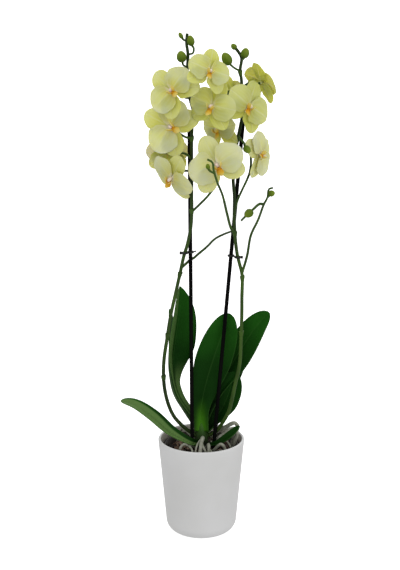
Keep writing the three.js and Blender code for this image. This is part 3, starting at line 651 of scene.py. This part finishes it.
def leaf_skin(name, low, blade, high, rib, pale, fresh, smoothest, roughest):
    """A waxy leaf with a faint midrib and veins. Painted shade makes it darkest near the crown, and painted
    light makes it lighter towards the tip.

    Its tint is 1 where painted light makes it pale, 0 where it is plain and -1 where it is a fresh green.
    """
    paint = Paint(name, IOR=1.42, Specular_IOR_Level=0.04)
    along, across = paint.span()
    mottle = paint.noise(40, 4)
    broad = paint.ramp(paint.noise(12, 2), [(0.35, (0, 0, 0, 1)), (0.65, (1, 1, 1, 1))])
    veins = paint.math("SINE", paint.times(across, 150.0))
    off_rib = paint.off_middle(across)
    # Painted shade near the crown and painted light towards the tip: low is the shade and high is the light.
    body = paint.ramp(along, [(0.03, low), (0.3, blade), (0.55, blade), (0.9, high)])
    body = paint.blend(paint.times(mottle, 0.5), body, low)
    body = paint.blend(paint.times(broad, 0.25), body, high)
    tint = paint.tint()
    painted_light = paint.math("MAXIMUM", tint, 0.0)
    freshness = paint.math("MAXIMUM", paint.times(tint, -1.0), 0.0)
    # Painted light: where the tint is above 0, the leaf turns pale on its lit side, stalk and folded edge.
    body = paint.blend(painted_light, body, paint.blend(mottle, between(pale, blade, 0.2), pale))
    body = paint.blend(freshness, body, fresh)
    streak = paint.remap(veins, From_Min=-1, To_Min=0, To_Max=0.07)
    keel = paint.remap(off_rib, From_Max=0.025, To_Min=0.3, To_Max=0)
    edge = paint.remap(off_rib, From_Min=0.47, From_Max=0.5, To_Max=0.4)
    for share in (streak, keel, edge):
        body = paint.blend(share, body, rib)
    paint.rough(mottle, smoothest, roughest)
    paint.bump(paint.math("ADD", paint.times(veins, 0.25), mottle), 0.2, 0.5)
    return paint.colour(body)


def stem_skin():
    paint = Paint("stem", IOR=1.42, Specular_IOR_Level=0.2)
    mottle = paint.noise(90, 4, (1, 1, 0.25))
    fresh = paint.ramp(mottle, [(0.3, shade(36, 58, 18)), (0.7, shade(68, 97, 35))])
    dark = paint.ramp(mottle, [(0.3, shade(16, 26, 10)), (0.7, shade(36, 50, 20))])
    paint.rough(mottle, 0.4, 0.65)
    paint.bump(mottle, 0.3, 0.3)
    return paint.colour(paint.blend(paint.tint(), fresh, dark))


def bud_skin():
    paint = Paint("bud", IOR=1.42, Specular_IOR_Level=0.2, Subsurface_Weight=0.05, Subsurface_Scale=0.002)
    along, across = paint.span()
    seams = paint.math("ABSOLUTE", paint.math("SINE", paint.times(across, 3 * pi)))
    body = paint.ramp(along, [(0, shade(54, 80, 10)), (0.5, shade(84, 108, 14)), (1, shade(122, 140, 34))])
    body = paint.blend(paint.times(seams, 0.25), body, shade(112, 128, 44))
    paint.rough(paint.noise(80, 3), 0.4, 0.6)
    paint.bump(seams, 0.4, 0.6)
    return paint.colour(body)


def tepal_skin(name, heart, root, middle, edge, sepal_root, sepal_edge, fresh):
    """A petal's soft skin, cream at its heart, greener at its root and on sepals.

    Its tint is how green the bloom is, below 0 where it is pale, and 2 more on sepals.
    """
    paint = Paint(name, IOR=1.36, Specular_IOR_Level=0.2, Subsurface_Weight=0.5, Subsurface_Scale=0.006)
    paint.shader.inputs["Subsurface Radius"].default_value = (1, 0.9, 0.4)
    along, across = paint.span()
    off_rib = paint.off_middle(across)
    wander = paint.times(paint.noise(24, 2), 16.0)
    veins = paint.math("SINE", paint.math("ADD", paint.times(across, 44.0), wander))
    mottle = paint.noise(45, 3)
    petal = paint.ramp(along, [(0.05, heart), (0.16, root), (0.5, middle), (0.95, edge)])
    petal = paint.blend(paint.times(off_rib, 0.5), petal, edge)
    sepal = paint.ramp(along, [(0.04, heart), (0.16, sepal_root), (0.4, sepal_root), (0.9, sepal_edge)])
    tint = paint.tint()
    is_sepal = paint.math("GREATER_THAN", tint, 1.5)
    green = paint.math("SUBTRACT", tint, paint.times(is_sepal, 2.0))
    body = paint.blend(is_sepal, petal, sepal)
    patch = paint.noise(28, 2)
    body = paint.blend(paint.remap(patch, From_Min=0.52, From_Max=0.7, To_Max=0.45), body, edge)
    body = paint.blend(paint.remap(patch, From_Min=0.48, From_Max=0.3, To_Max=0.35), body, sepal_root)
    body = paint.blend(paint.times(green, 0.8), body, fresh)
    body = paint.blend(paint.times(green, -1.0), body, edge)
    fade = paint.remap(along, From_Min=0.95, From_Max=0.1, To_Max=0.2)
    body = paint.blend(paint.remap(veins, From_Min=-0.2, To_Max=fade), body, edge)
    body = paint.blend(paint.remap(off_rib, From_Max=0.05, To_Min=0.45, To_Max=0), body, edge)
    body = paint.blend(paint.times(mottle, 0.4), body, root)
    paint.rough(mottle, 0.5, 0.7)
    paint.bump(paint.math("ADD", paint.times(veins, 0.35), mottle), 0.3, 0.4)
    return paint.colour(body)


def column_skin():
    paint = Paint("column", IOR=1.4, Specular_IOR_Level=0.35, Subsurface_Weight=0.1, Subsurface_Scale=0.002)
    along, _ = paint.span()
    body = paint.ramp(along, [
        (0, shade(186, 172, 120)), (0.4, shade(222, 206, 188)), (1, shade(232, 214, 206)),
    ])
    paint.rough(paint.noise(90, 3), 0.4, 0.6)
    paint.bump(paint.noise(200, 2), 0.15, 0.2)
    return paint.colour(body)


def lip_skin():
    """The lip runs from rust at its heart to cream at its edges. Its tint is low where it is strong."""
    paint = Paint("lip", IOR=1.4, Specular_IOR_Level=0.15)
    _, across = paint.span()
    stripes = paint.math("SINE", paint.times(across, 60.0))
    heat = paint.math("ADD", paint.tint(), paint.times(paint.noise(160, 4), 0.2))
    body = paint.ramp(heat, [
        (0.1, shade(184, 88, 8)), (0.4, shade(202, 136, 20)), (0.68, shade(212, 174, 56)),
        (1, shade(220, 204, 116)),
    ])
    line = paint.remap(stripes, From_Min=0.4, To_Min=0, To_Max=0.25)
    paint.rough(stripes, 0.4, 0.55)
    paint.bump(stripes, 0.2, 0.2)
    return paint.colour(paint.blend(line, body, shade(136, 66, 20)))


def stick_skin():
    paint = Paint("stick", Specular_IOR_Level=0.03)
    grain = paint.noise(220, 4, (1, 1, 0.03))
    paint.rough(grain, 0.65, 0.9)
    paint.bump(grain, 0.5, 0.3)
    return paint.colour(paint.ramp(grain, [(0.3, shade(4, 5, 4)), (0.7, shade(14, 13, 13))]))


def clip_skin():
    paint = Paint("clip", Specular_IOR_Level=0.3)
    speck = paint.noise(180, 2)
    paint.rough(speck, 0.35, 0.5)
    paint.bump(speck, 0.1, 0.1)
    return paint.colour(paint.ramp(speck, [(0.3, shade(10, 10, 10)), (0.7, shade(18, 18, 19))]))


# Pot, liner and bark

def build_pot(skin):
    """The cover pot: a straight taper on a rounded foot, with a round rim and an open inside."""
    foot = POT_LOW_RADIUS - POT_CORNER
    top, rim = POT_TOP.z, POT_TOP.x
    inner = rim - POT_WALL
    lip = POT_WALL / 2
    profile = [(0, 0)] + [(foot * k / 4, 0) for k in (1, 2, 3)]
    profile += arc((foot, POT_CORNER), POT_CORNER, -90, -5, 14)
    profile += [(mix(POT_LOW_RADIUS, rim, k / 12), mix(POT_CORNER, top - lip, k / 12)) for k in range(13)]
    profile += arc((rim - lip, top - lip), lip, 20, 160, 8)
    low_inner = (POT_LOW_RADIUS - POT_WALL, POT_CORNER + 4)
    profile += [(mix(inner, low_inner[0], k / 8), mix(top - lip, low_inner[1], k / 8)) for k in range(9)]
    profile += [(foot + 9, POT_FLOOR + 3), (foot + 2, POT_FLOOR), (0, POT_FLOOR)]
    make("pot_glazed", lathe(profile, POT_SIDES), [skin], "glaze", "pot")


def build_liner(skin):
    """The clear pot inside: a thin wall with an outturned rim and a hole in its floor."""
    low, top = LINER_LOW.z, LINER_TOP.z
    radius = LINER_TOP.x - LINER_LIP
    profile = [
        (6, low), (LINER_LOW_RADIUS - 2, low), (LINER_LOW_RADIUS, low + 2), (radius, top - 3),
        (radius + LINER_LIP, top - 3), (radius + LINER_LIP, top), (radius - LINER_WALL, top),
        (LINER_LOW_RADIUS - LINER_WALL, low + 2.5), (LINER_LOW_RADIUS - LINER_WALL - 2, low + LINER_WALL),
        (6, low + LINER_WALL), (6, low),
    ]
    make("liner_pot_clear", lathe(profile, LINER_SIDES), [skin], "clear_plastic", "liner_pot")


def chip_shape(draw):
    """One bark chip: a rough split slab with broken edges, about its own middle."""
    long, wide, deep = (draw.uniform(*limits) for limits in (CHIP_LONG, CHIP_WIDE, CHIP_DEEP))
    tint = draw.random() ** 1.4
    seed = draw.uniform(0, 50)

    def place(height, spread, angle, turn):
        corner = 1 / max(abs(cos(angle)), abs(sin(angle))) ** 0.7
        rough = 1 + 0.16 * sin(seed + 5 * angle + 3 * height) + 0.1 * sin(2 * seed + 3 * angle)
        reach = corner * spread * rough / 2
        lift = deep * height / 2 + 0.5 * sin(seed + 2 * angle)
        point = Vector((long * reach * cos(angle), wide * reach * sin(angle), lift))
        return point, (turn, height, tint)

    return rings(CHIP_OUTLINE, 12, place)


def build_bark(skin):
    """A ground with a rough top, and loose chips spread over it by the golden angle."""
    draw = random.Random(CHIP_SEED)
    reach = LINER_TOP.x - LINER_LIP - 2 * LINER_WALL - 2
    bore = reach - 2
    ground = BARK_TOP - 3
    ways = [angle for angle, _ in turns(BARK_SIDES)]
    shape = Shape().grid([
        [(polar(bore * ring / 8, way, ground + draw.uniform(-1, 1)), (0, 0, 0)) for way in ways]
        for ring in range(9)
    ], ring=True)
    outline = [
        (bore, ground), (mix(LINER_LOW_RADIUS, reach, 0.5) - 3, 66),
        (LINER_LOW_RADIUS - 4, BARK_LOW.z + 3), (LINER_LOW_RADIUS - 6, BARK_LOW.z),
    ]
    shape.grid([[(polar(r, way, z), (0, 0, 0.1)) for way in ways] for r, z in outline], ring=True)
    for i in range(CHIP_COUNT):
        angle = i * CHIP_TURN + draw.uniform(-0.3, 0.3)
        away = (bore - 8) * sqrt((i + 0.5) / CHIP_COUNT)
        place = Matrix.Translation(polar(away, angle, BARK_TOP + draw.uniform(-2, 3.2)))
        turn = Matrix.Rotation(draw.uniform(0, 2 * pi), 4, "Z")
        tilt = Matrix.Rotation(draw.gauss(0, 0.4), 4, "X") @ Matrix.Rotation(draw.gauss(0, 0.35), 4, "Y")
        shape.join(chip_shape(draw).turned(place @ turn @ tilt))
    make("bark_chips", shape, [skin], "bark", "bark")


# Crown, leaves and roots

def crown_skin():
    """The crown is dark low down with painted shade among the leaf bases, with papery old sheaths and a
    little fresh green at its top.
    """
    paint = Paint("crown", Specular_IOR_Level=0.2)
    _, across = paint.span()
    fibre = paint.noise(90, 5, (1, 1, 0.15))
    # Painted shade: the crown is darkest at its foot, among the leaf bases, and turns fresh green at its top.
    body = paint.ramp(paint.tint(), [
        (0, shade(14, 11, 8)), (0.45, shade(15, 22, 9)), (0.75, shade(36, 74, 16)), (1, shade(58, 112, 22)),
    ])
    body = paint.blend(paint.times(fibre, 0.4), body, shade(52, 46, 36))
    paint.rough(across, 0.6, 0.9)
    paint.bump(fibre, 0.6, 0.8)
    return paint.colour(body)


def build_crown(skin):
    """The short stem that the leaves grow from, with four soft pleats."""
    def place(share, spread, angle, turn):
        pleat = 1 - 0.07 * abs(sin(2 * angle + 3 * share))
        point = polar((CROWN_TOP.x - 0.5) * spread * pleat, angle, mix(CROWN_LOW.z, CROWN_TOP.z, share))
        return point, (share, 0.5 + 0.4 * sin(6 * angle), share)

    make("crown_green", rings(CROWN_OUTLINE, CROWN_SIDES, place), [skin], "leaf", "crown")


def leaf_width(leaf, along):
    """The share of a leaf's full width, at a share of its length."""
    tip = max(0, (along - LEAF_TAPER) / (1 - LEAF_TAPER))
    rounding = max(0, 1 - tip ** 2.2) ** leaf.get("point", 0.5)
    return mix(leaf["stalk"], 1, smooth(along, leaf["neck"], LEAF_TAPER)) * rounding


def leaf_frame(leaf, route, along):
    """The ways to a leaf's right side and out of its upper face, at a share of its length."""
    base, middle, tip = (Vector(face) for face in leaf["face"])
    face = base.lerp(middle, along * 2) if along < 0.5 else middle.lerp(tip, along * 2 - 1)
    forward = route.heading(along)
    side = forward.cross(face).normalized()
    return side, side.cross(forward).normalized()


def leaf_tint(leaf, along, x):
    """1 where painted light makes a leaf pale and -1 where it is a fresh green. x is -1 and 1 at its edges.
    """
    pale = leaf.get("pale", 0) * smooth(mix(0.3, 0.75, along) - x, -0.1, 0.1)
    stalk = leaf.get("lit_stalk", 0) * smooth(x, 0, 0.4) * (1 - smooth(along, 0.3, 0.5))
    edge = leaf.get("lit_edge", 0) * smooth(-x, 0.25, 0.5)
    fresh = leaf.get("fresh", 0) * (1 - smooth(along + 0.08 * abs(x), 0.03, 0.3))
    return max(pale, stalk, edge) - fresh * (1 - 0.7 * smooth(abs(x), 0.2, 1))


def build_leaf(leaf, skins):
    """The leaf's blade: two gently arched halves that meet in a soft channel."""
    route = Route(leaf["rib"])
    phase = sum(leaf["rib"][0])

    def place(share, x):
        along = LEAF_END * share
        side, up = leaf_frame(leaf, route, along)
        fold = radians(mix(*leaf["fold"], smooth(along, 0, 0.6)))
        half = leaf["halves"][0 if x < 0 else 1] * leaf_width(leaf, along)
        channel = sqrt(x * x + 0.004) - 0.063
        arch = LEAF_ARCH * half * abs(x) * (1 - abs(x))
        ripple = LEAF_RIPPLE * half * x * x * sin(9 * along + phase + (2 if x > 0 else 0))
        point = route.at(along) + side * (half * x * cos(fold))
        point += up * (half * channel * sin(fold) + arch + ripple)
        # The first mark is scaled by brighten, so a leaf that sits in shade reaches less of the painted light
        # at its tip.
        return point, (along * leaf.get("brighten", 1), (x + 1) / 2, leaf_tint(leaf, along, x))

    piece = make(leaf["name"] + "_blade", sheet(72, 24, place), skins, "leaf", leaf["name"])
    thicken(piece, LEAF_THICKNESS)


def build_root(root, skin):
    """A root with soft lumps along it, and its side roots."""
    radius = root["radius"]
    phase = 7 * radius
    shape = sweep(
        Route(root["route"]),
        lambda share: radius * (1 - 0.15 * share) * (0.96 + 0.06 * sin(38 * share + phase)),
        sides=14, stride=2,
    )
    for name, thin, points in ROOTLETS:
        if name == root["name"]:
            shape.join(sweep(Route(points), lambda share: thin * (1 - 0.25 * share), sides=10, stride=2))
    make(root["name"] + "_skin", shape, [skin], "root", root["name"])


# Sticks and clips

def stick_at(stick, height):
    """The place on a stick's middle line at a height."""
    foot, head = Vector((*stick["foot"], STICK_FOOT)), Vector(stick["head"])
    return foot.lerp(head, (height - foot.z) / (head.z - foot.z))


def build_stick(stick, skin):
    foot, head = stick_at(stick, STICK_FOOT), Vector(stick["head"])
    route = Route([foot, foot.lerp(head, 0.5), head])
    shape = sweep(route, lambda share: STICK_RADIUS * (0.97 if share < 0.996 else 0.7), sides=18, stride=3)
    make(stick["name"] + "_rod", shape, [skin], "stick", stick["name"])


def ring_shape(centre, bore, wall, height):
    """A round band with softened edges."""
    soft = 0.4
    outer, low, top = bore + wall, -height / 2, height / 2
    profile = [
        (bore, low + soft), (bore + soft, low), (outer - soft, low), (outer, low + soft), (outer, top - soft),
        (outer - soft, top), (bore + soft, top), (bore, top - soft), (bore, low + soft),
    ]
    return lathe(profile, CLIP_SIDES).turned(Matrix.Translation(centre))


def bar_shape(start, end, wide, tall):
    """A flat bar between two points at one height, with rounded ends."""
    way = (end - start).normalized()
    across = Vector((-way.y, way.x, 0))

    def place(share, spread, angle, turn):
        point = start.lerp(end, share) + across * (wide / 2 * spread * cos(angle))
        return point + Vector((0, 0, tall / 2 * sin(angle))), (share, turn, 0)

    return rings([(0, 0.5), (0.03, 1), (0.97, 1), (1, 0.5)], 12, place)


def build_clip(clip, skin):
    """A ring round the stem and one round the stick, the bar between them, a tail and a grip."""
    stick = stick_at(STICKS[clip["stick"]], clip["height"])
    stem = Vector((*clip["stem"], clip["height"]))
    way = (stick - stem).normalized()
    away = Vector((copysign(1, stick.x - stem.x), 0, 0))
    stem_bore = clip["stem_radius"] + CLIP_STEM_PLAY
    stick_bore = STICK_RADIUS + CLIP_STICK_PLAY
    shape = ring_shape(stem, stem_bore, CLIP_WALL, CLIP_HEIGHT)
    shape.join(ring_shape(stick, stick_bore, CLIP_WALL, CLIP_HEIGHT))
    shape.join(bar_shape(stem + way * (stem_bore + 0.6), stick - way * (stick_bore + 0.6), *CLIP_BAR))
    shape.join(bar_shape(stick + way * (stick_bore + 0.6), stick + way * clip["tail"], *CLIP_TAIL))
    grip = stem - away * (stem_bore + 0.4)
    shape.join(bar_shape(grip, grip - away * 3, *CLIP_GRIP))
    make(clip["name"] + "_black", shape, [skin], "clip", clip["name"])


# Spikes

def bloom_matrix(bloom):
    """From a bloom's own frame to the plant's."""
    yaw, pitch, roll = (radians(bloom[key]) for key in ("yaw", "pitch", "roll"))
    turn = Matrix.Rotation(yaw, 4, "Z") @ Matrix.Rotation(pi / 2 - pitch, 4, "X")
    turn = turn @ Matrix.Rotation(roll, 4, "Z")
    return Matrix.Translation(bloom["at"]) @ turn @ Matrix.Scale(bloom["size"], 4)


def behind(bloom, distance):
    """A point on the line through the back of a bloom, at a distance behind its middle."""
    return tuple(bloom_matrix(bloom) @ Vector((0, 0, -distance / bloom["size"])))


def bract_shape(centre, heading, radius):
    """A sheath that clasps a stem at a node and ends in a small point on one side."""
    across = heading.orthogonal().normalized()
    other = heading.cross(across)

    def place(height, spread, angle, turn):
        point = 1.6 * max(0, cos(angle)) ** 3 * smooth(height, 0, 3)
        way = across * cos(angle) + other * sin(angle)
        return centre + heading * (height + point) + way * (radius + spread), (0.5, turn, 0.15)

    return rings(BRACT_OUTLINE, 14, place)


def bud_shape(bud):
    """An egg with three seams, where its sepals meet."""
    half, tall = bud["size"]
    lean = Vector((0, 0, 1)).rotation_difference(Vector(bud["lean"]).normalized())

    def place(share, angle, turn):
        slope = pi * mix(0.04, 0.96, share)
        height = -tall * cos(slope)
        seam = 1 - 0.07 * (1 - abs(sin(1.5 * angle))) ** 3
        radius = half * sin(slope) * (1 - 0.12 * height / tall) * seam
        return lean @ polar(radius, angle, height) + Vector(bud["at"]), (share, turn, 0)

    return rings([(r / 14,) for r in range(15)], 24, place)


def stalk_shape(bud):
    """A bud's stalk, which runs a little way into the bud."""
    seat = Vector(bud["at"]) - Vector(bud["lean"]).normalized() * bud["size"][1] * 0.8
    route = Route([*bud["stalk"], tuple(seat)], 60)
    return sweep(route, lambda share: mix(*STALK_RADII, share ** 3), sides=10, stride=2, tint=0.1)


def stem_tint(height, shadow):
    """A spike's tint: it darkens towards the top, and by shadow low among the leaves."""
    return 0.25 + 0.6 * smooth(height, *STEM_DARKENS) + shadow * (1 - smooth(height, *LEAF_SHADOW))


def build_spike(spike, stem, bud):
    """A spike with its bracts, branches and stalks in one skin, and its buds in another."""
    route = Route(spike["route"], 600)
    shape = Shape()
    main = sweep(route, lambda share: mix(*SPIKE_RADII, share), sides=14, stride=4)
    shadow = spike.get("shadow", 0)
    main.marks = [(*mark[:2], stem_tint(point[2], shadow)) for point, mark in zip(main.points, main.marks)]
    shape.join(main)
    for node in spike["nodes"]:
        share = route.share_near(node)
        shape.join(bract_shape(route.at(share), route.heading(share), mix(*SPIKE_RADII, share)))
    for branch in spike["branches"]:
        shape.join(sweep(Route(branch), lambda share: mix(*BRANCH_RADII, share), stride=3, tint=0.2))
    for name, points in spike["pedicels"]:
        bloom = next(b for b in BLOOMS if b["name"] == name)
        seat = BLOOM_SEAT * bloom["size"]
        way = Route([*points, behind(bloom, seat + 12), behind(bloom, seat)], 80)
        shape.join(sweep(way, lambda share: mix(*PEDICEL_RADII, share ** 2), sides=10, stride=2.5, tint=0.1))
    buds = Shape()
    for one in spike["buds"]:
        shape.join(stalk_shape(one))
        buds.join(bud_shape(one))
    make(spike["name"] + "_stem", shape, [stem], "stem", spike["name"])
    make(spike["name"].replace("spike", "buds"), buds, [bud], "stem", spike["name"])


# Blooms, in a frame of their own: +X to the right, +Y up the dorsal sepal, +Z out of the face

def tepal_shape(form, angle, tint, phase):
    """One tepal: a rounded blade on a narrow claw, with a creased midrib and a gently waved edge."""
    turn = Matrix.Rotation(radians(angle), 3, "Z")

    def place(share, s):
        t = mix(0.03, 0.985, share)
        along = -cos(pi * t)
        across = s * sin(pi * t)
        a = mix(TEPAL_START, form["reach"], (along + 1) / 2) - form["shoulder"] * across * across
        wide = form["half"] * (1 + form["splay"] * along)
        wide *= mix(form["claw"], 1, smooth(along, -1, TEPAL_WIDENS))
        own_phase = phase * (1 if s > 0 else 2)
        wobble = sin(4 * along + own_phase) + 0.45 * sin(9 * along + 3 * own_phase)
        b = across * wide * (1 + form["wobble"] * wobble)
        p, q = a / form["reach"], b / form["half"]
        z = form["back"] + form["rise"] * p - form["bend"] * p * p + form["side"] * q * q * p
        z -= form["crease"] * exp(-((q / 0.09) ** 2)) * smooth(p, 0.1, 0.5)
        z += form["wave"] * s * s * sin(5 * pi * t + phase + (1.7 if s > 0 else 0)) * p
        return turn @ Vector((b, a, z)), ((along + 1) / 2, (s + 1) / 2, tint)

    return sheet(30, 22, place)


def hub_shape(green):
    """The disc behind the tepals, where the bloom's stalk ends."""
    def place(z, radius, angle, turn):
        return polar(radius, angle, z), (0.02, turn, SEPAL["mark"] + green)

    return rings(HUB_OUTLINE, 16, place)


def column_radius(share):
    """The column swells a little below its cap, which is round."""
    cap = max(0.02, 1 - ((share - COLUMN_CAP) / (1 - COLUMN_CAP)) ** 2) if share > COLUMN_CAP else 1
    return COLUMN_RADIUS * (1 + 0.18 * exp(-(((share - 0.72) / 0.15) ** 2))) * sqrt(cap)


def column_shape():
    """The column: a short arched club with a rounded anther cap."""
    route = Route([(0, 0.4, 0), (0, -0.4, 4.2), (0, -2.8, 8.5)], 40)
    return sweep(route, column_radius, sides=16, stride=0.6)


def lobe_shape(length, half, lift, curl, heat, point=0):
    """A lobe of the lip that hangs down -Y from its root. heat is its tint at root and tip."""
    def place(share, s):
        t = mix(0.04, 0.97, share)
        along = -cos(pi * t)
        a = length * (along + 1) / 2
        narrow = 1 - point * smooth(along, 0.2, 1)
        b = half * s * sin(pi * t) * (1 + 0.25 * along) * narrow
        z = lift * (a / length) ** 2 + curl * b * b
        return Vector((b, -a, z)), (t, (s + 1) / 2, mix(*heat, (along + 1) / 2))

    return sheet(12, 12, place)


def lip_shape(heat):
    """The lip: a tongue that points out and down, and two wings that stand up beside the column."""
    pale = 0.45 * (1 - heat)
    droop = Matrix.Rotation(radians(-LIP_DROOP), 4, "X")
    shape = lobe_shape(**TONGUE, heat=(pale, pale + 0.7))
    shape.turned(Matrix.Translation(TONGUE_ROOT) @ droop)
    x, y, z = WING_ROOT
    tilt = Matrix.Rotation(radians(WING_TILT), 4, "X")
    for hand in (-1, 1):
        wing = lobe_shape(**WING, heat=(pale + 0.25, 1))
        turn = tilt @ Matrix.Rotation(radians(hand * WING_SPREAD), 4, "Y")
        wing.turned(Matrix.Translation((hand * x, y, z)) @ turn @ Matrix.Rotation(pi, 4, "Z"))
        shape.join(wing)
    return shape


def callus_shape():
    """The lump at the lip's root, in two halves, and the two fine horns at its tip."""
    shape = Shape()
    x, y, z = CALLUS_ROOT
    for hand in (-1, 1):
        centre = Vector((hand * x, y, z))

        def place(share, angle, turn):
            slope = pi * mix(0.05, 0.95, share)
            point = centre + polar(CALLUS_RADIUS * sin(slope), angle, -CALLUS_HALF * cos(slope))
            return point, (share, turn, 0.35)

        shape.join(rings([(r / 8,) for r in range(9)], 12, place))
        horn = Route([(hand * 0.8, -14.6, 9.8), (hand * 2, -16, 10.4), (hand * 1.6, -15.8, 11.8)], 30)
        shape.join(sweep(horn, lambda share: mix(0.45, 0.15, share), sides=6, stride=0.5, tint=0.95))
    return shape


def build_bloom(bloom, order, tepal_skins, column, lip):
    """One bloom. Each of its tepals differs a little from the others, by draws of its own."""
    draw = random.Random(order)
    place = bloom_matrix(bloom)
    shape = hub_shape(bloom["green"])
    for form, angle in TEPALS:
        own = dict(form)
        own["reach"] *= draw.uniform(0.97, 1.02)
        own["half"] *= draw.uniform(0.96, 1.03)
        own["bend"] += draw.uniform(-1, 1)
        own_angle = angle + draw.uniform(-3, 3)
        shape.join(tepal_shape(own, own_angle, form["mark"] + bloom["green"], draw.uniform(0, 6)))
    tepals, lip_node = bloom["name"] + "_tepals", bloom["name"] + "_lip"
    petals = make(bloom["name"] + "_petals", shape.turned(place), tepal_skins, "tepal", tepals)
    thicken(petals, TEPAL_THICKNESS)
    make(bloom["name"] + "_column", column_shape().turned(place), [column], "tepal", tepals)
    lobes = make(lip_node + "_lobes", lip_shape(bloom["heat"]).turned(place), [lip], "lip", lip_node)
    thicken(lobes, LIP_THICKNESS)
    make(lip_node + "_callus", callus_shape().turned(place), [lip], "lip", lip_node)


# Camera, floor and light

CAMERA_PLACE = (-0.002, -1.5, 0.706)
CAMERA_PITCH = 12
FOCAL_LENGTH = 65.05
FLOOR_GLOW = 0.62
BACKDROP_GLOW = 1.05
WORLD_GLOW = 0.72
LIGHTS = [
    dict(name="key", place=(-0.7, -1.7, 2), size=2.2, power=14),
    dict(name="fill", place=(1.5, -1.4, 0.9), size=1.8, power=10),
    dict(name="back", place=(0.4, 1.8, 1.9), size=1.4, power=18),
]
LIGHT_TARGET = Vector((0, 0, 0.35))


def build_camera():
    data = bpy.data.cameras.new("camera")
    data.sensor_width = 36
    data.lens = FOCAL_LENGTH
    camera = bpy.data.objects.new("camera", data)
    camera.location = CAMERA_PLACE
    camera.rotation_euler = (radians(90 - CAMERA_PITCH), 0, 0)
    bpy.context.collection.objects.link(camera)
    bpy.context.scene.camera = camera


def build_stage(name, add_mesh, glow):
    """A white surface of the studio. The camera sees it and it takes shadows, but it lights nothing."""
    add_mesh()
    piece = bpy.context.object
    piece.name = name
    paint = Paint(name, Roughness=0.9, Specular_IOR_Level=0, Emission_Strength=glow)
    paint.shader.inputs["Emission Color"].default_value = (1, 1, 1, 1)
    piece.data.materials.append(paint.colour((0.9, 0.9, 0.9, 1)))
    piece.visible_diffuse = False
    piece.visible_glossy = False
    piece.visible_transmission = False
    return piece


def build_floor():
    build_stage("floor", lambda: bpy.ops.mesh.primitive_plane_add(size=8), FLOOR_GLOW)
    backdrop = build_stage("backdrop", lambda: bpy.ops.mesh.primitive_uv_sphere_add(radius=30), BACKDROP_GLOW)
    backdrop.visible_shadow = False


def build_light(name, place, size, power):
    data = bpy.data.lights.new(name, "AREA")
    data.size = size
    data.energy = power
    light = bpy.data.objects.new(name, data)
    light.location = place
    light.rotation_euler = (LIGHT_TARGET - light.location).to_track_quat("-Z", "Y").to_euler()
    bpy.context.collection.objects.link(light)


def build_world():
    world = bpy.data.worlds.new("studio")
    world.use_nodes = True
    background = world.node_tree.nodes["Background"]
    background.inputs["Color"].default_value = (1, 1, 1, 1)
    background.inputs["Strength"].default_value = WORLD_GLOW
    bpy.context.scene.world = world
    bpy.context.scene.view_settings.view_transform = "Standard"


build_camera()
build_floor()
build_world()
for light in LIGHTS:
    build_light(**light)

build_pot(glaze())
build_liner(clear_plastic())
build_bark(bark_skin())

# pale is the painted light on a leaf's lit side, stalk and folded edge; fresh is the green of young growth.
leaf_marks = dict(pale=shade(92, 122, 66), fresh=shade(70, 130, 26))
# In each leaf skin, low is painted shade near the crown and high is painted light towards the tip.
upper = leaf_skin(
    "leaf_upper", low=shade(3, 19, 2), blade=shade(8, 43, 5), high=shade(28, 86, 17), rib=shade(60, 96, 44),
    smoothest=0.4, roughest=0.55, **leaf_marks,
)
under = leaf_skin(
    "leaf_under", low=shade(30, 56, 20), blade=shade(46, 78, 32), high=shade(60, 96, 42),
    rib=shade(84, 112, 56), smoothest=0.45, roughest=0.6, **leaf_marks,
)
build_crown(crown_skin())
for leaf in LEAVES:
    build_leaf(leaf, [upper, under])

root_paint = root_skin()
for root in ROOTS:
    build_root(root, root_paint)

stick_paint = stick_skin()
for stick in STICKS:
    build_stick(stick, stick_paint)
clip_paint = clip_skin()
for clip in CLIPS:
    build_clip(clip, clip_paint)

stem_paint = stem_skin()
bud_paint = bud_skin()
for spike in SPIKES:
    build_spike(spike, stem_paint, bud_paint)

front = tepal_skin(
    "tepal_front", heart=shade(228, 212, 176), root=shade(196, 188, 84), middle=shade(192, 198, 136),
    edge=shade(204, 209, 182), sepal_root=shade(180, 184, 96), sepal_edge=shade(200, 205, 142),
    fresh=shade(158, 170, 62),
)
back = tepal_skin(
    "tepal_back", heart=shade(182, 180, 98), root=shade(182, 182, 108), middle=shade(202, 192, 172),
    edge=shade(208, 198, 190), sepal_root=shade(172, 178, 70), sepal_edge=shade(196, 198, 124),
    fresh=shade(178, 184, 52),
)
column_paint = column_skin()
lip_paint = lip_skin()
for order, bloom in enumerate(BLOOMS):
    build_bloom(bloom, order, [front, back], column_paint, lip_paint)

bpy.context.view_layer.update()
